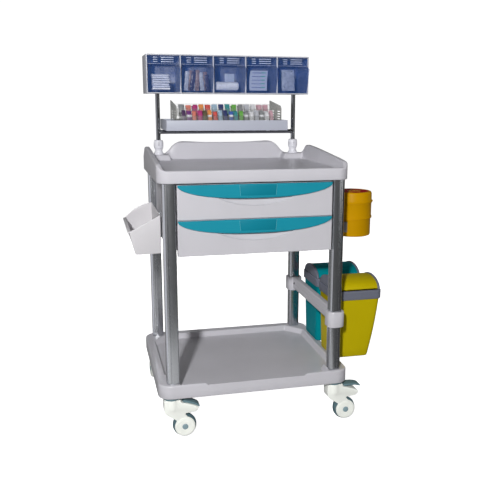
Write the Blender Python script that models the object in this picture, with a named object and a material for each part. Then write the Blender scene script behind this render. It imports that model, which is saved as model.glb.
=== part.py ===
"""Hospital medication cart: an ABS trolley with two drawers and hung-on accessories.

Metres, +Z up, +Y to the back, +X to the right of someone standing at the drawers.
Run with: blender --background --python part.py
"""
import math

import bmesh
import bpy
from mathutils import Matrix, Vector

# ---------------------------------------------------------------- driving dimensions
GAP = 0.0003                 # clearance kept between pieces that touch
OVER = 0.010                 # how far a cutter runs past the face that it opens
FAR = 0.350                  # beyond every side of the cart
ROUND_SIDES = 24             # sides of the turned pieces
CORNER_STEPS = 4             # segments in each rounded corner

SIDES = (("left", -1), ("right", 1))

BASE_HALF_X = 0.325
BASE_HALF_Y = 0.275
BASE_CORNER = 0.045
BASE_BOTTOM = 0.144
BASE_TOP = 0.191
BASE_FLOOR = 0.172
BASE_SHELL = 0.006
BASE_SIDE_RIM = 0.037        # rim left beside, behind and in front of the sunken shelf
BASE_REAR_RIM = 0.047
BASE_FRONT_RIM = 0.013
BASE_SIDE_Y = (-0.165, 0.170)
BASE_REAR_CHAMFER = 0.053
BASE_NOTCH_Y = -0.200        # where the shelf narrows to pass between the front posts
BASE_POST_FOOT = 0.010
BASE_UNDER_RIM = 0.020
BASE_STEM_PAD = 0.012        # solid left round each caster's race plate

TOP_HALF_X = 0.3125
TOP_HALF_Y = 0.265
TOP_CORNER = 0.040
TOP_CORNER_STEPS = 6
SKIRT_BOTTOM = 0.843
LIP_TOP = 0.8825
LIP_THICK = 0.0125
TOP_FLOOR = 0.876
TOP_SHELL = 0.008
TOP_SKIRT = 0.015
TRAY_CHAMFER = 0.030
PLATFORM_X = 0.222
PLATFORM_Y = 0.197
PLATFORM_CHAMFER = 0.015
PLATFORM_TOP = 0.896         # raised rear corners that carry the rod sockets
WING_THICK = 0.020
WING_FRONT_Z = 0.902
WING_REAR_Z = 0.930
WING_EDGE = ((-0.263, LIP_TOP), (-0.246, 0.8925), (-0.225, WING_FRONT_Z), (0.160, WING_REAR_Z),
             (0.176, 0.9275), (0.225, PLATFORM_TOP))      # (y, z) from front to back
SPLASH_THICK = 0.018
SPLASH_TOP = 0.942
SPLASH_HALF = 0.180
SPLASH_EDGE = ((0.238, PLATFORM_TOP), (0.222, 0.902), (SPLASH_HALF + 0.015, 0.932),
               (SPLASH_HALF, 0.940), (SPLASH_HALF - 0.020, SPLASH_TOP),
               (SPLASH_HALF / 2, SPLASH_TOP - 0.003))     # (x, z) from end to middle

POST_X = 0.277
POST_Y = 0.243
POST_WIDE = 0.041
POST_DEEP = 0.042
POST_CORNER = 0.011
POST_WALL = 0.006
GROOVE_WIDE = 0.005
GROOVE_DEEP = 0.003

CABINET_BOTTOM = 0.613
CABINET_SKIN = 0.008
CABINET_X = 0.262            # inner face of the side panels
CABINET_BACK_INSET = 0.010
CABINET_BACK_SKIN = 0.006

DRAWER_HALF_X = 0.2525
DRAWER_FACE_Y = -0.262
DRAWER_FRONT_THICK = 0.020
DRAWER_BOX_HALF_X = 0.2475
DRAWER_BACK_Y = 0.190
DRAWER_WALL = 0.004
DRAWER_BOX_LIFT = 0.006
DRAWER_BOX_RISE = 0.080
UPPER_DRAWER = (0.7285, 0.8420)
LOWER_DRAWER = (0.6135, 0.7270)
PULL_HALF_X = 0.2515
PULL_DROP = 0.043
PULL_EDGE = 0.003            # height left at the ends of the pull
PULL_THICK = 0.006
PULL_BOW = 2.5               # exponents of the pull's bowed lower edge
PULL_FALL = 0.55
PULL_STEPS = 28
GRIP_HALF_X = 0.150
GRIP_DROP = 0.070
GRIP_TOP = 0.008
GRIP_DEEP = 0.012
GRIP_STEPS = 16

RUNNER_Y = (-0.205, 0.195)
RUNNER_LOW = 0.022           # rail heights above the drawer's lower edge
RUNNER_HIGH = 0.067
RUNNER_FLANGE = 0.009
RUNNER_STEP = 0.004

CASTER_X = 0.281
CASTER_Y = 0.240
WHEEL_R = 0.0395
WHEEL_HALF = 0.0155
WHEEL_SHOULDER = 0.004
WHEEL_SIDES = 32
TRAIL = 0.040
FORK_HALF = 0.0215
FORK_REACH = 0.0845
FORK_NOSE = ((TRAIL + 0.004, 0.0860), (0.062, 0.0940), (0.080, 0.0990), (FORK_REACH, 0.1040),
             (0.0720, 0.1120), (0.0500, 0.1190), (0.0290, 0.1220))    # (forward, z)
SLOT_HALF = 0.0165
SLOT_R = 0.0425
DISC_R = 0.034
DISC_ARC = (140, 295)        # where the disc leaves the cover, and its sweep, in degrees
COLLAR_R = 0.028
COLLAR_SHOULDER = 0.024
COLLAR_TOP = 0.1370
COLLAR_BOTTOM = 0.0990
STEM_R = 0.006
STEM_BOTTOM = 0.1095
AXLE_R = 0.005
AXLE_SIDES = 16
CAP_R = 0.010
CAP_THICK = 0.0015
PEDAL_PIVOT = (0.036, 0.1265)
PEDAL_HALF = 0.018
PEDAL_LIFT = 0.30            # radians that a released pedal stands up
PEDAL_SIDE = ((0.0320, 0.1228), (0.0500, 0.1202), (0.0725, 0.1130), (0.0860, 0.1042),
              (0.0905, 0.1060), (0.0880, 0.1130), (0.0780, 0.1210), (0.0640, 0.1275),
              (0.0500, 0.1310), (0.0330, 0.1325))         # (forward, z)
REAR_LEFT_HEADING = math.radians(95)
REAR_RIGHT_HEADING = math.radians(30)
CASTER_HEADINGS = {
    "front_left": (-1, -1, 0.0),
    "front_right": (1, -1, 0.0),
    "rear_left": (-1, 1, REAR_LEFT_HEADING),
    "rear_right": (1, 1, REAR_RIGHT_HEADING),
}

ROD_X = 0.257
ROD_Y = 0.218
ROD_R = 0.008
ROD_SIDES = 16
CROSSBAR_Z = 0.979
SOCKET_R = 0.0175
SOCKET_WAIST = 0.0140
SOCKET_MOUTH = 0.0150
SOCKET_SIDES = 20
SOCKET_STEPS = (0.006, 0.010, 0.021, 0.025, 0.046, 0.053)   # heights over the platform

BIN_UNIT_HALF_X = 0.299
BIN_UNIT_FRONT = 0.161
BIN_UNIT_DEEP = 0.160
BIN_UNIT_BOTTOM = 1.116
BIN_UNIT_TOP = 1.252
BIN_UNIT_WALL = 0.004
BIN_COUNT = 5
BIN_SIDE_GAP = 0.0006
BIN_WALL = 0.002
BIN_PIVOT_Y = BIN_UNIT_FRONT + 0.008
BIN_PIVOT_Z = BIN_UNIT_BOTTOM + 0.013
BIN_R = 0.1178
BIN_ARC_STEPS = 10
BIN_OUTER_ARC = (-3.6, 73.6)     # start and sweep of the round back, in degrees
BIN_INNER_ARC = (-2.6, 72.0)
BIN_MOUTH_Z = 0.1180
BIN_FRONT = ((-0.004, BIN_MOUTH_Z), (-0.004, 0.0894), (-0.033, 0.0770), (-0.0045, -0.0072))
BIN_FRONT_INSIDE = ((-0.002, 0.1400), (-0.002, 0.0882), (-0.030, 0.0760), (-0.002, -0.0052))
BIN_REAR_LIP = (0.040, 0.1400)

RACK_TRAY_X = (-0.240, 0.200)
RACK_TRAY_Y = (0.090, 0.300)
RACK_TRAY_Z = (CROSSBAR_Z + ROD_R + GAP, 1.024)
RACK_TRAY_WALL = 0.002
RACK_X = (-0.203, 0.183)
RACK_Y = (0.115, 0.285)
RACK_MIDDLE_Y = 0.192
RACK_WALL = 0.003
RACK_END_FRONT = 1.074       # heights of the sloping ends and of the three walls
RACK_END_BACK = 1.093
RACK_END_FLAT = 0.012
RACK_FRONT_WALL = 1.040
RACK_MIDDLE_WALL = 1.064
RACK_BACK_WALL = 1.082
RACK_SKY = 1.200
RACK_PASS = 0.001            # how far the cutters over the walls run past them

SIDE_BIN_Y = (-0.165, 0.125)
SIDE_BIN_INNER_X = -0.295
SIDE_BIN_REACH = 0.105
SIDE_BIN_BOTTOM = 0.607
SIDE_BIN_BACK_Z = 0.733
SIDE_BIN_WALL = 0.003
SIDE_BIN_LIP = ((0.098, 0.682), (SIDE_BIN_REACH, 0.680), (SIDE_BIN_REACH, 0.674), (0.099, 0.668),
                (0.092, 0.640), (0.085, 0.612), (0.078, 0.605))      # (outward, z)
SIDE_BIN_HOLLOW = ((0.102, 0.684), (0.096, 0.668), (0.089, 0.640),
                   (0.078, 0.605 + SIDE_BIN_WALL))
SIDE_BIN_SKY = 0.800
BRACKET_Y = (-0.060, 0.040)
BRACKET_Z = (0.640, 0.710)

RAIL_X = (0.266, 0.288)
RAIL_Z = (0.354, 0.402)
RAIL_CORNER = 0.004
CLAMP_HALF_X = 0.029
CLAMP_HALF_Y = 0.031
CLAMP_CORNER = 0.021
CLAMP_Z = (0.344, 0.398)

WASTE_X = (0.296, 0.476)
WASTE_HALF_Y = 0.091
WASTE_CENTRES = {"yellow": -0.094, "teal": 0.094}
WASTE_BOTTOM = 0.192
WASTE_WALL = 0.0025
WASTE_CORNER = 0.016
WASTE_FLOOR_X = (0.304, 0.440)
WASTE_FLOOR_HALF_Y = 0.072
WASTE_SHOULDER = 0.004       # the body is straight from here under the rim
WASTE_RIM = (0.410, 0.442)
WASTE_RIM_THICK = 0.005
WASTE_RIM_CORNER = 0.020
WASTE_RIM_PLATE = 0.0035
WASTE_APEX = 0.478
MOUTH_MARGIN_X = 0.0065
MOUTH_MARGIN_Y = 0.004
MOUTH_CORNER = 0.005
CHEEK_THICK = 0.008
CHEEK_INSET = 0.004
CHEEK_LARGER = 1.04          # the cheeks stand a little proud of the lid's barrel
CHEEK_STEPS = 12
LID_HALF_Y = 0.0765
LID_BASE_Z = WASTE_RIM[1] + 0.002
LID_PIN_Z = LID_BASE_Z + 0.014
LID_PIN_R = 0.003
LID_PIN_REACH = 0.005
LID_PIN_SIDES = 12
LID_SIDE_GAP = 0.0006
LID_SKIN = 0.0025
LID_WEB = 0.003
LID_STEPS = 14

SHARPS_X = 0.386
SHARPS_Y = -0.100
SHARPS_R = 0.0665
SHARPS_SIDES = 32
SHARPS_Z = (0.631, 0.786)
SHARPS_STEP = 0.692
SHARPS_SLIM = 0.0025         # how much slimmer the lower half is
SHARPS_SPLIT = 0.746
SHARPS_WALL = 0.0025
SHARPS_HINGE_X = SHARPS_X + SHARPS_R + 0.004
SHARPS_HINGE_Z = 0.7485
CAP_LIP = 0.0015
CAP_LIP_RISE = 0.007
CAP_RIM_WIDE = 0.012
CAP_DISH = 0.006
KNUCKLE_HALF = 0.012
KNUCKLE_REACH = 0.0055
HOLDER_PLATE_Y = (-0.140, -0.060)
HOLDER_PLATE_Z = (0.640, 0.690)
HOLDER_ARM_Y = (-0.118, -0.082)
HOLDER_ARM_Z = (0.652, 0.680)
HOLDER_THICK = 0.004
CRADLE_Z = (0.648, 0.684)
CRADLE_ARC = (125, 110)      # start and sweep of the cradle, in degrees
CRADLE_GAP = 0.0005

# The model's box is centred on the origin, so the cart's own centre is shifted by half of
# the difference between its furthest reaches.
LEFT_REACH = SIDE_BIN_REACH - SIDE_BIN_INNER_X
RIGHT_REACH = WASTE_X[1]
FRONT_REACH = BASE_HALF_Y
REAR_CASTER_REACH = (CASTER_Y + FORK_REACH * math.sin(REAR_LEFT_HEADING)
                     + FORK_HALF * abs(math.cos(REAR_LEFT_HEADING)))
REAR_REACH = max(BIN_UNIT_FRONT + BIN_UNIT_DEEP, REAR_CASTER_REACH)
CART_X = (LEFT_REACH - RIGHT_REACH) / 2
CART_Y = (FRONT_REACH - REAR_REACH) / 2


# ---------------------------------------------------------------- scene and materials
for old in list(bpy.data.objects):
    bpy.data.objects.remove(old, do_unlink=True)

CART = bpy.data.objects.new("cart_centre", None)
CART.location = (CART_X, CART_Y, 0)
bpy.context.scene.collection.objects.link(CART)


def finish(name, colour, roughness, metallic=0.0, alpha=1.0):
    """One Principled material."""
    made = bpy.data.materials.new(name)
    made.use_nodes = True
    shader = made.node_tree.nodes["Principled BSDF"]
    shader.inputs["Base Color"].default_value = (*colour, 1)
    shader.inputs["Roughness"].default_value = roughness
    shader.inputs["Metallic"].default_value = metallic
    shader.inputs["Alpha"].default_value = alpha
    return made


ABS = finish("abs_light_grey", (0.58, 0.57, 0.61), 0.35)
PANEL = finish("panel_white", (0.62, 0.61, 0.64), 0.4)
ALUMINIUM = finish("anodised_aluminium", (0.42, 0.43, 0.46), 0.35, 1.0)
TEAL = finish("teal_plastic", (0.012, 0.26, 0.34), 0.35)
STEEL = finish("zinc_steel", (0.45, 0.46, 0.48), 0.4, 1.0)
CHROME = finish("chrome", (0.55, 0.56, 0.58), 0.12, 1.0)
CASTER_WHITE = finish("caster_white", (0.84, 0.87, 0.80), 0.35)
CASTER_GREY = finish("caster_grey", (0.16, 0.25, 0.28), 0.4)
TYRE = finish("tyre_grey", (0.10, 0.19, 0.21), 0.6)
SOCKET = finish("socket_white", (0.78, 0.78, 0.82), 0.35)
TRAY_PAINT = finish("tray_paint", (0.46, 0.48, 0.56), 0.4)
CLEAR_GREY = finish("clear_grey_plastic", (0.30, 0.31, 0.31), 0.2, 0.0, 0.6)
FRAME_WHITE = finish("bin_frame_white", (0.66, 0.67, 0.74), 0.35)
BLUE_CLEAR = finish("clear_blue_plastic", (0.03, 0.10, 0.36), 0.12, 0.0, 0.6)
WASTE_YELLOW = finish("waste_yellow", (0.39, 0.34, 0.003), 0.4)
WASTE_TEAL = finish("waste_teal", (0.0, 0.21, 0.24), 0.4)
RIM_GREY = finish("rim_grey", (0.14, 0.15, 0.18), 0.45)
SHARPS_YELLOW = finish("sharps_yellow", (0.50, 0.27, 0.0), 0.35)


# ---------------------------------------------------------------- shape helpers
def rounded_rectangle(half_x, half_y, radius, steps=CORNER_STEPS):
    """Points of a rounded rectangle about the origin, counter-clockwise."""
    points = []
    corners = ((1, 1, 0), (-1, 1, 90), (-1, -1, 180), (1, -1, 270))
    for side_x, side_y, start in corners:
        for step in range(steps + 1):
            angle = math.radians(start + 90 * step / steps)
            points.append((side_x * (half_x - radius) + radius * math.cos(angle),
                           side_y * (half_y - radius) + radius * math.sin(angle)))
    return points


def circle(radius, sides=ROUND_SIDES, centre=(0, 0), start=0.0, sweep=2 * math.pi):
    """Points of a circle, or of an arc with both ends when sweep is less than a turn."""
    whole = abs(sweep) > 2 * math.pi - 1e-6
    count = sides if whole else sides + 1
    return [(centre[0] + radius * math.cos(start + sweep * i / sides),
             centre[1] + radius * math.sin(start + sweep * i / sides)) for i in range(count)]


def rectangle(x0, x1, y0, y1):
    return [(x0, y0), (x1, y0), (x1, y1), (x0, y1)]


def loft(rings):
    """A closed mesh through rings of equal length, capped at both ends."""
    shape = bmesh.new()
    rows = [[shape.verts.new(point) for point in ring] for ring in rings]
    count = len(rows[0])
    for lower, upper in zip(rows, rows[1:]):
        for i in range(count):
            j = (i + 1) % count
            shape.faces.new((lower[i], lower[j], upper[j], upper[i]))
    shape.faces.new(list(reversed(rows[0])))
    shape.faces.new(rows[-1])
    bmesh.ops.recalc_face_normals(shape, faces=shape.faces)
    return as_mesh(shape)


def as_mesh(shape):
    mesh = bpy.data.meshes.new("shape")
    shape.to_mesh(mesh)
    shape.free()
    return mesh


def prism(outline, low, high, axis="z"):
    """An outline pushed along an axis; (u, v) is (x, y), (x, z) or (y, z)."""
    place = {"z": lambda u, v, w: (u, v, w),
             "y": lambda u, v, w: (u, w, v),
             "x": lambda u, v, w: (w, u, v)}[axis]
    return loft([[place(u, v, w) for u, v in outline] for w in (low, high)])


def block(x0, x1, y0, y1, z0, z1):
    return prism(rectangle(x0, x1, y0, y1), z0, z1)


def turned(profile, sides=ROUND_SIDES, axis="z", centre=(0, 0, 0)):
    """A closed (radius, height) profile turned about an axis through centre."""
    shape = bmesh.new()
    rows = []
    for i in range(sides):
        angle = 2 * math.pi * i / sides
        row = []
        for radius, height in profile:
            u, v = radius * math.cos(angle), radius * math.sin(angle)
            spot = (u, v, height) if axis == "z" else (u, height, v)
            row.append(shape.verts.new(Vector(spot) + Vector(centre)))
        rows.append(row)
    count = len(profile)
    for i in range(sides):
        here, there = rows[i], rows[(i + 1) % sides]
        for j in range(count):
            k = (j + 1) % count
            shape.faces.new((here[j], there[j], there[k], here[k]))
    bmesh.ops.remove_doubles(shape, verts=shape.verts, dist=1e-7)
    bmesh.ops.recalc_face_normals(shape, faces=shape.faces)
    return as_mesh(shape)


def rod(radius, low, high, centre=(0, 0, 0), axis="z", sides=ROUND_SIDES):
    """A plain round bar."""
    ring = circle(radius, sides)
    place = {"z": lambda u, v, w: (u, v, w),
             "y": lambda u, v, w: (u, w, v),
             "x": lambda u, v, w: (w, u, v)}[axis]
    shift = Vector(centre)
    return loft([[Vector(place(u, v, w)) + shift for u, v in ring] for w in (low, high)])


def combine(operation, first, *others):
    """Boolean of meshes, done with the EXACT solver; the inputs are used up."""
    base = bpy.data.objects.new("work", first)
    bpy.context.scene.collection.objects.link(base)
    tools = []
    for mesh in others:
        tool = bpy.data.objects.new("tool", mesh)
        bpy.context.scene.collection.objects.link(tool)
        step = base.modifiers.new("boolean", "BOOLEAN")
        step.operation = operation
        step.solver = "EXACT"
        step.object = tool
        tools.append(tool)
    ready = base.evaluated_get(bpy.context.evaluated_depsgraph_get())
    result = bpy.data.meshes.new_from_object(ready)
    for temporary in (base, *tools):
        bpy.data.objects.remove(temporary, do_unlink=True)
    return result


def cut(first, *others):
    return combine("DIFFERENCE", first, *others)


def union(first, *others):
    return combine("UNION", first, *others)


def moved(mesh, offset):
    mesh.transform(Matrix.Translation(offset))
    return mesh


def node(name, mesh, material, pivot=(0, 0, 0), parent=CART, turn=(0, 0, 0)):
    """One named sub-part whose origin is its pivot, in the cart's frame."""
    mesh.transform(Matrix.Translation(-Vector(pivot)))
    mesh.name = name
    mesh.materials.clear()
    mesh.materials.append(material)
    tidy = bmesh.new()
    tidy.from_mesh(mesh)
    bmesh.ops.dissolve_degenerate(tidy, dist=1e-6, edges=tidy.edges)
    bmesh.ops.triangulate(tidy, faces=tidy.faces)
    tidy.to_mesh(mesh)
    tidy.free()
    mesh.shade_smooth()
    mesh.set_sharp_from_angle(angle=math.radians(35))
    made = bpy.data.objects.new(name, mesh)
    made.parent = parent
    made.location = Vector(pivot)
    made.rotation_euler = turn
    bpy.context.scene.collection.objects.link(made)


def mirrored(points):
    """An outline of right-hand points closed by their mirror image across x = 0."""
    return list(points) + [(-x, y) for x, y in reversed(points)]


def span_of(side, low, high):
    """The two x values low and high, taken to one side of the cart, in rising order."""
    return sorted((side * low, side * high))


# ---------------------------------------------------------------- base and worktop
def base_tray():
    """ABS tray over the chassis: sunken shelf on top, hollow underneath."""
    body = prism(rounded_rectangle(BASE_HALF_X, BASE_HALF_Y, BASE_CORNER), BASE_BOTTOM, BASE_TOP)
    side = BASE_HALF_X - BASE_SIDE_RIM
    rear = BASE_HALF_Y - BASE_REAR_RIM
    front = -(BASE_HALF_Y - BASE_FRONT_RIM)
    between_posts = POST_X - POST_WIDE / 2 - BASE_POST_FOOT
    front_y, back_y = BASE_SIDE_Y
    shelf = mirrored([(side, front_y), (side, back_y), (side - BASE_REAR_CHAMFER, rear)])
    shelf_front = rectangle(-between_posts, between_posts, front, 0)
    notch = mirrored([(between_posts, BASE_NOTCH_Y), (side, front_y)])
    sunk = union(*(prism(part, BASE_FLOOR, BASE_TOP + OVER) for part in (shelf, shelf_front, notch)))
    pad = COLLAR_R + BASE_STEM_PAD
    low, high = BASE_BOTTOM - OVER, BASE_FLOOR - BASE_SHELL
    along_x, along_y = CASTER_X - pad, BASE_HALF_Y - BASE_UNDER_RIM
    across_x, across_y = BASE_HALF_X - BASE_UNDER_RIM, CASTER_Y - pad
    under = union(block(-along_x, along_x, -along_y, along_y, low, high),
                  block(-across_x, across_x, -across_y, across_y, low, high))
    node("base_tray", cut(body, sunk, under), ABS)


def worktop():
    """Moulded top: low front lip, rising side wings, rear splash and corner platforms."""
    outline = rounded_rectangle(TOP_HALF_X, TOP_HALF_Y, TOP_CORNER, TOP_CORNER_STEPS)
    body = prism(outline, SKIRT_BOTTOM, SPLASH_TOP)
    side = TOP_HALF_X - WING_THICK
    front = -(TOP_HALF_Y - LIP_THICK)
    rear = TOP_HALF_Y - SPLASH_THICK
    sky = SPLASH_TOP + OVER
    low_tray = mirrored([(side - TRAY_CHAMFER, front), (side, front + TRAY_CHAMFER),
                         (side, PLATFORM_Y), (PLATFORM_X + PLATFORM_CHAMFER, PLATFORM_Y),
                         (PLATFORM_X, PLATFORM_Y + PLATFORM_CHAMFER), (PLATFORM_X, rear)])
    high_tray = rectangle(-side, side, front, rear)
    above_wings = [(-FAR, sky), (-FAR, LIP_TOP), *WING_EDGE, (rear, PLATFORM_TOP), (rear, sky)]
    above_splash = [(FAR, sky), *mirrored([(FAR, PLATFORM_TOP), *SPLASH_EDGE]), (-FAR, sky)]
    hollow_y = TOP_HALF_Y - TOP_SKIRT
    pocket = block(-DRAWER_HALF_X, DRAWER_HALF_X, -hollow_y, hollow_y,
                   SKIRT_BOTTOM - OVER, TOP_FLOOR - TOP_SHELL)
    made = cut(body,
               prism(low_tray, TOP_FLOOR, sky),
               prism(high_tray, PLATFORM_TOP, sky),
               prism(above_wings, -FAR, FAR, "x"),
               prism(above_splash, rear, FAR, "y"),
               pocket)
    node("worktop", made, ABS)


# ---------------------------------------------------------------- posts and cabinet
def posts():
    """Four hollow extruded aluminium posts, grooved on every side."""
    low, high = BASE_TOP + GAP, SKIRT_BOTTOM - GAP
    under, over = low - OVER, high + OVER
    half_x, half_y = POST_WIDE / 2, POST_DEEP / 2
    groove = GROOVE_WIDE / 2
    deep_x, deep_y = half_x - GROOVE_DEEP, half_y - GROOVE_DEEP
    out_x, out_y = half_x + OVER, half_y + OVER
    core = rounded_rectangle(half_x - POST_WALL, half_y - POST_WALL, POST_CORNER - POST_WALL)
    for name, (side_x, side_y, _) in CASTER_HEADINGS.items():
        made = cut(prism(rounded_rectangle(half_x, half_y, POST_CORNER), low, high),
                   prism(core, under, over),
                   block(deep_x, out_x, -groove, groove, under, over),
                   block(-out_x, -deep_x, -groove, groove, under, over),
                   block(-groove, groove, deep_y, out_y, under, over),
                   block(-groove, groove, -out_y, -deep_y, under, over))
        spot = (side_x * POST_X, side_y * POST_Y, 0)
        node("post_" + name, moved(made, spot), ALUMINIUM, spot)


def cabinet():
    """Side and back panels between the posts."""
    top = SKIRT_BOTTOM - GAP
    reach = POST_Y - POST_DEEP / 2 - GAP
    for name, side in SIDES:
        near, far = span_of(side, CABINET_X, CABINET_X + CABINET_SKIN)
        node("cabinet_side_" + name, block(near, far, -reach, reach, CABINET_BOTTOM, top), PANEL)
    between = POST_X - POST_WIDE / 2 - GAP
    back = reach + CABINET_BACK_INSET
    node("cabinet_back", block(-between, between, back, back + CABINET_BACK_SKIN,
                               CABINET_BOTTOM, top), PANEL)


# ---------------------------------------------------------------- drawers
def pull_outline(top):
    """Straight top edge and a bowed lower edge."""
    lower = []
    for i in range(PULL_STEPS + 1):
        share = -math.cos(math.pi * i / PULL_STEPS)
        drop = PULL_DROP * (1 - abs(share) ** PULL_BOW) ** PULL_FALL
        lower.append((PULL_HALF_X * share, top - PULL_EDGE - drop))
    return lower + [(PULL_HALF_X, top), (-PULL_HALF_X, top)]


def drawer(name, low, high):
    """One moulding, the front with a finger scoop and an open box behind it; and its pull."""
    pivot = (0, DRAWER_FACE_Y, low)
    face_back = DRAWER_FACE_Y + DRAWER_FRONT_THICK
    wall = DRAWER_WALL
    half_x = DRAWER_BOX_HALF_X
    box_low = low + DRAWER_BOX_LIFT
    front = block(-DRAWER_HALF_X, DRAWER_HALF_X, DRAWER_FACE_Y, face_back, low, high)
    box = block(-half_x, half_x, face_back - wall, DRAWER_BACK_Y, box_low, box_low + DRAWER_BOX_RISE)
    inside = block(-half_x + wall, half_x - wall, face_back, DRAWER_BACK_Y - wall,
                   box_low + wall, high + OVER)
    scoop_outline = []
    for i in range(GRIP_STEPS + 1):
        angle = math.pi + math.pi * i / GRIP_STEPS
        scoop_outline.append((GRIP_HALF_X * math.cos(angle),
                              high - GRIP_TOP + (GRIP_DROP - GRIP_TOP) * math.sin(angle)))
    scoop = prism(scoop_outline, DRAWER_FACE_Y - OVER, DRAWER_FACE_Y + GRIP_DEEP, "y")
    node(name, cut(union(front, box), inside, scoop), PANEL, pivot)
    back = DRAWER_FACE_Y - GAP
    pull = prism(pull_outline(high - GAP), back - PULL_THICK, back, "y")
    node(name + "_pull", pull, TEAL, pivot)


def runners():
    """Slide rails between the drawer boxes and the cabinet sides."""
    inner, outer = DRAWER_BOX_HALF_X + GAP, CABINET_X - GAP
    y0, y1 = RUNNER_Y
    for level, (floor, _) in (("upper", UPPER_DRAWER), ("lower", LOWER_DRAWER)):
        low, high = floor + RUNNER_LOW, floor + RUNNER_HIGH
        for name, side in SIDES:
            near, far = span_of(side, inner, outer)
            thin_near, thin_far = span_of(side, inner + RUNNER_STEP, outer - RUNNER_STEP)
            waist = [block(thin_near, thin_far, y0 - OVER, y1 + OVER, *level_z)
                     for level_z in ((high - RUNNER_FLANGE, high + OVER),
                                     (low - OVER, low + RUNNER_FLANGE))]
            node(f"runner_{level}_{name}", cut(block(near, far, y0, y1, low, high), *waist), STEEL)


# ---------------------------------------------------------------- casters
def fork_mesh():
    """Caster cover: collar, nose with a hooked underside, wheel disc and the wheel's well."""
    start, sweep = (math.radians(angle) for angle in DISC_ARC)
    disc = circle(DISC_R, ROD_SIDES, (TRAIL, WHEEL_R), start, sweep)
    outline = [(-COLLAR_R, COLLAR_TOP), (-COLLAR_R, COLLAR_BOTTOM), *disc, *FORK_NOSE,
               (COLLAR_SHOULDER, COLLAR_TOP)]
    hub = (TRAIL, 0, WHEEL_R)
    cover = prism(outline, -FORK_HALF, FORK_HALF, "y")
    collar = rod(COLLAR_R, COLLAR_BOTTOM + GAP, COLLAR_TOP - GAP)
    well = rod(SLOT_R, -SLOT_HALF, SLOT_HALF, hub, "y")
    below = block(TRAIL - SLOT_R, TRAIL + SLOT_R, -SLOT_HALF, SLOT_HALF, -OVER, WHEEL_R)
    axle_hole = rod(AXLE_R + GAP, -FORK_HALF - OVER, FORK_HALF + OVER, hub, "y", AXLE_SIDES)
    stem_hole = rod(STEM_R + GAP, STEM_BOTTOM - GAP, COLLAR_TOP + OVER, sides=ROD_SIDES)
    return cut(union(cover, collar), well, below, axle_hole, stem_hole)


def wheel_mesh():
    """Tyre and hub in one, crowned, with the axle's bore."""
    bore = AXLE_R + GAP
    edge = WHEEL_R - WHEEL_SHOULDER
    profile = [(bore, -WHEEL_HALF), (edge, -WHEEL_HALF), (WHEEL_R, -WHEEL_HALF + WHEEL_SHOULDER),
               (WHEEL_R, WHEEL_HALF - WHEEL_SHOULDER), (edge, WHEEL_HALF), (bore, WHEEL_HALF)]
    return turned(profile, WHEEL_SIDES, "y", (TRAIL, 0, WHEEL_R))


def axle_mesh():
    """Axle bolt with a round cap at both ends."""
    inner = FORK_HALF + GAP
    outer = inner + CAP_THICK
    profile = [(0, -outer), (CAP_R, -outer), (CAP_R, -inner), (AXLE_R, -inner),
               (AXLE_R, inner), (CAP_R, inner), (CAP_R, outer), (0, outer)]
    return turned(profile, AXLE_SIDES, "y", (TRAIL, 0, WHEEL_R))


def stem_mesh():
    """Fixed race plate under the base with the swivel pin."""
    top, low = BASE_BOTTOM - GAP, COLLAR_TOP + GAP
    return turned([(0, STEM_BOTTOM), (STEM_R, STEM_BOTTOM), (STEM_R, low), (COLLAR_R, low),
                   (COLLAR_R, top), (0, top)])


def casters():
    """Four swivel casters; the front two have brake pedals, the right-hand one released."""
    hub = (TRAIL, 0, WHEEL_R)
    for name, (side_x, side_y, heading) in CASTER_HEADINGS.items():
        spot = Vector((side_x * CASTER_X, side_y * CASTER_Y, 0))
        node("caster_stem_" + name, moved(stem_mesh(), spot), CASTER_GREY, spot)
        swivel = bpy.data.objects.new("swivel_" + name, None)
        swivel.parent = CART
        swivel.location = spot
        swivel.rotation_euler = (0, 0, heading)
        bpy.context.scene.collection.objects.link(swivel)
        node("caster_fork_" + name, fork_mesh(), CASTER_WHITE, parent=swivel)
        node("caster_wheel_" + name, wheel_mesh(), TYRE, hub, swivel)
        node("caster_axle_" + name, axle_mesh(), CASTER_GREY, hub, swivel)
        if side_y < 0:
            lift = -PEDAL_LIFT if side_x > 0 else 0
            pivot_x, pivot_z = PEDAL_PIVOT
            pedal = prism(PEDAL_SIDE, -PEDAL_HALF, PEDAL_HALF, "y")
            node("brake_pedal_" + name, pedal, CASTER_GREY, (pivot_x, 0, pivot_z), swivel,
                 (0, lift, 0))


# ---------------------------------------------------------------- rear rack and tilt bins
def rack_frame():
    """Two rods welded to a crossbar."""
    low, high = PLATFORM_TOP + GAP, BIN_UNIT_BOTTOM - GAP
    left = rod(ROD_R, low, high, (-ROD_X, ROD_Y, 0), sides=ROD_SIDES)
    right = rod(ROD_R, low, high, (ROD_X, ROD_Y, 0), sides=ROD_SIDES)
    bar = rod(ROD_R - GAP, -ROD_X, ROD_X, (0, ROD_Y, CROSSBAR_Z), "x", ROD_SIDES)
    node("rack_frame", union(left, bar, right), CHROME)


def rod_sockets():
    """Split clamp collars that hold the rods on the rear platforms."""
    bore = ROD_R + GAP
    floor = PLATFORM_TOP + GAP
    foot, neck, waist, shoulder, brim, top = (floor + step for step in SOCKET_STEPS)
    profile = [(bore, floor), (SOCKET_R, floor), (SOCKET_R, foot), (SOCKET_WAIST, neck),
               (SOCKET_WAIST, waist), (SOCKET_R, shoulder), (SOCKET_R, brim),
               (SOCKET_MOUTH, top), (bore, top)]
    for name, side in SIDES:
        node("rod_socket_" + name, turned(profile, SOCKET_SIDES, "z", (side * ROD_X, ROD_Y, 0)),
             SOCKET)


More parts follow.
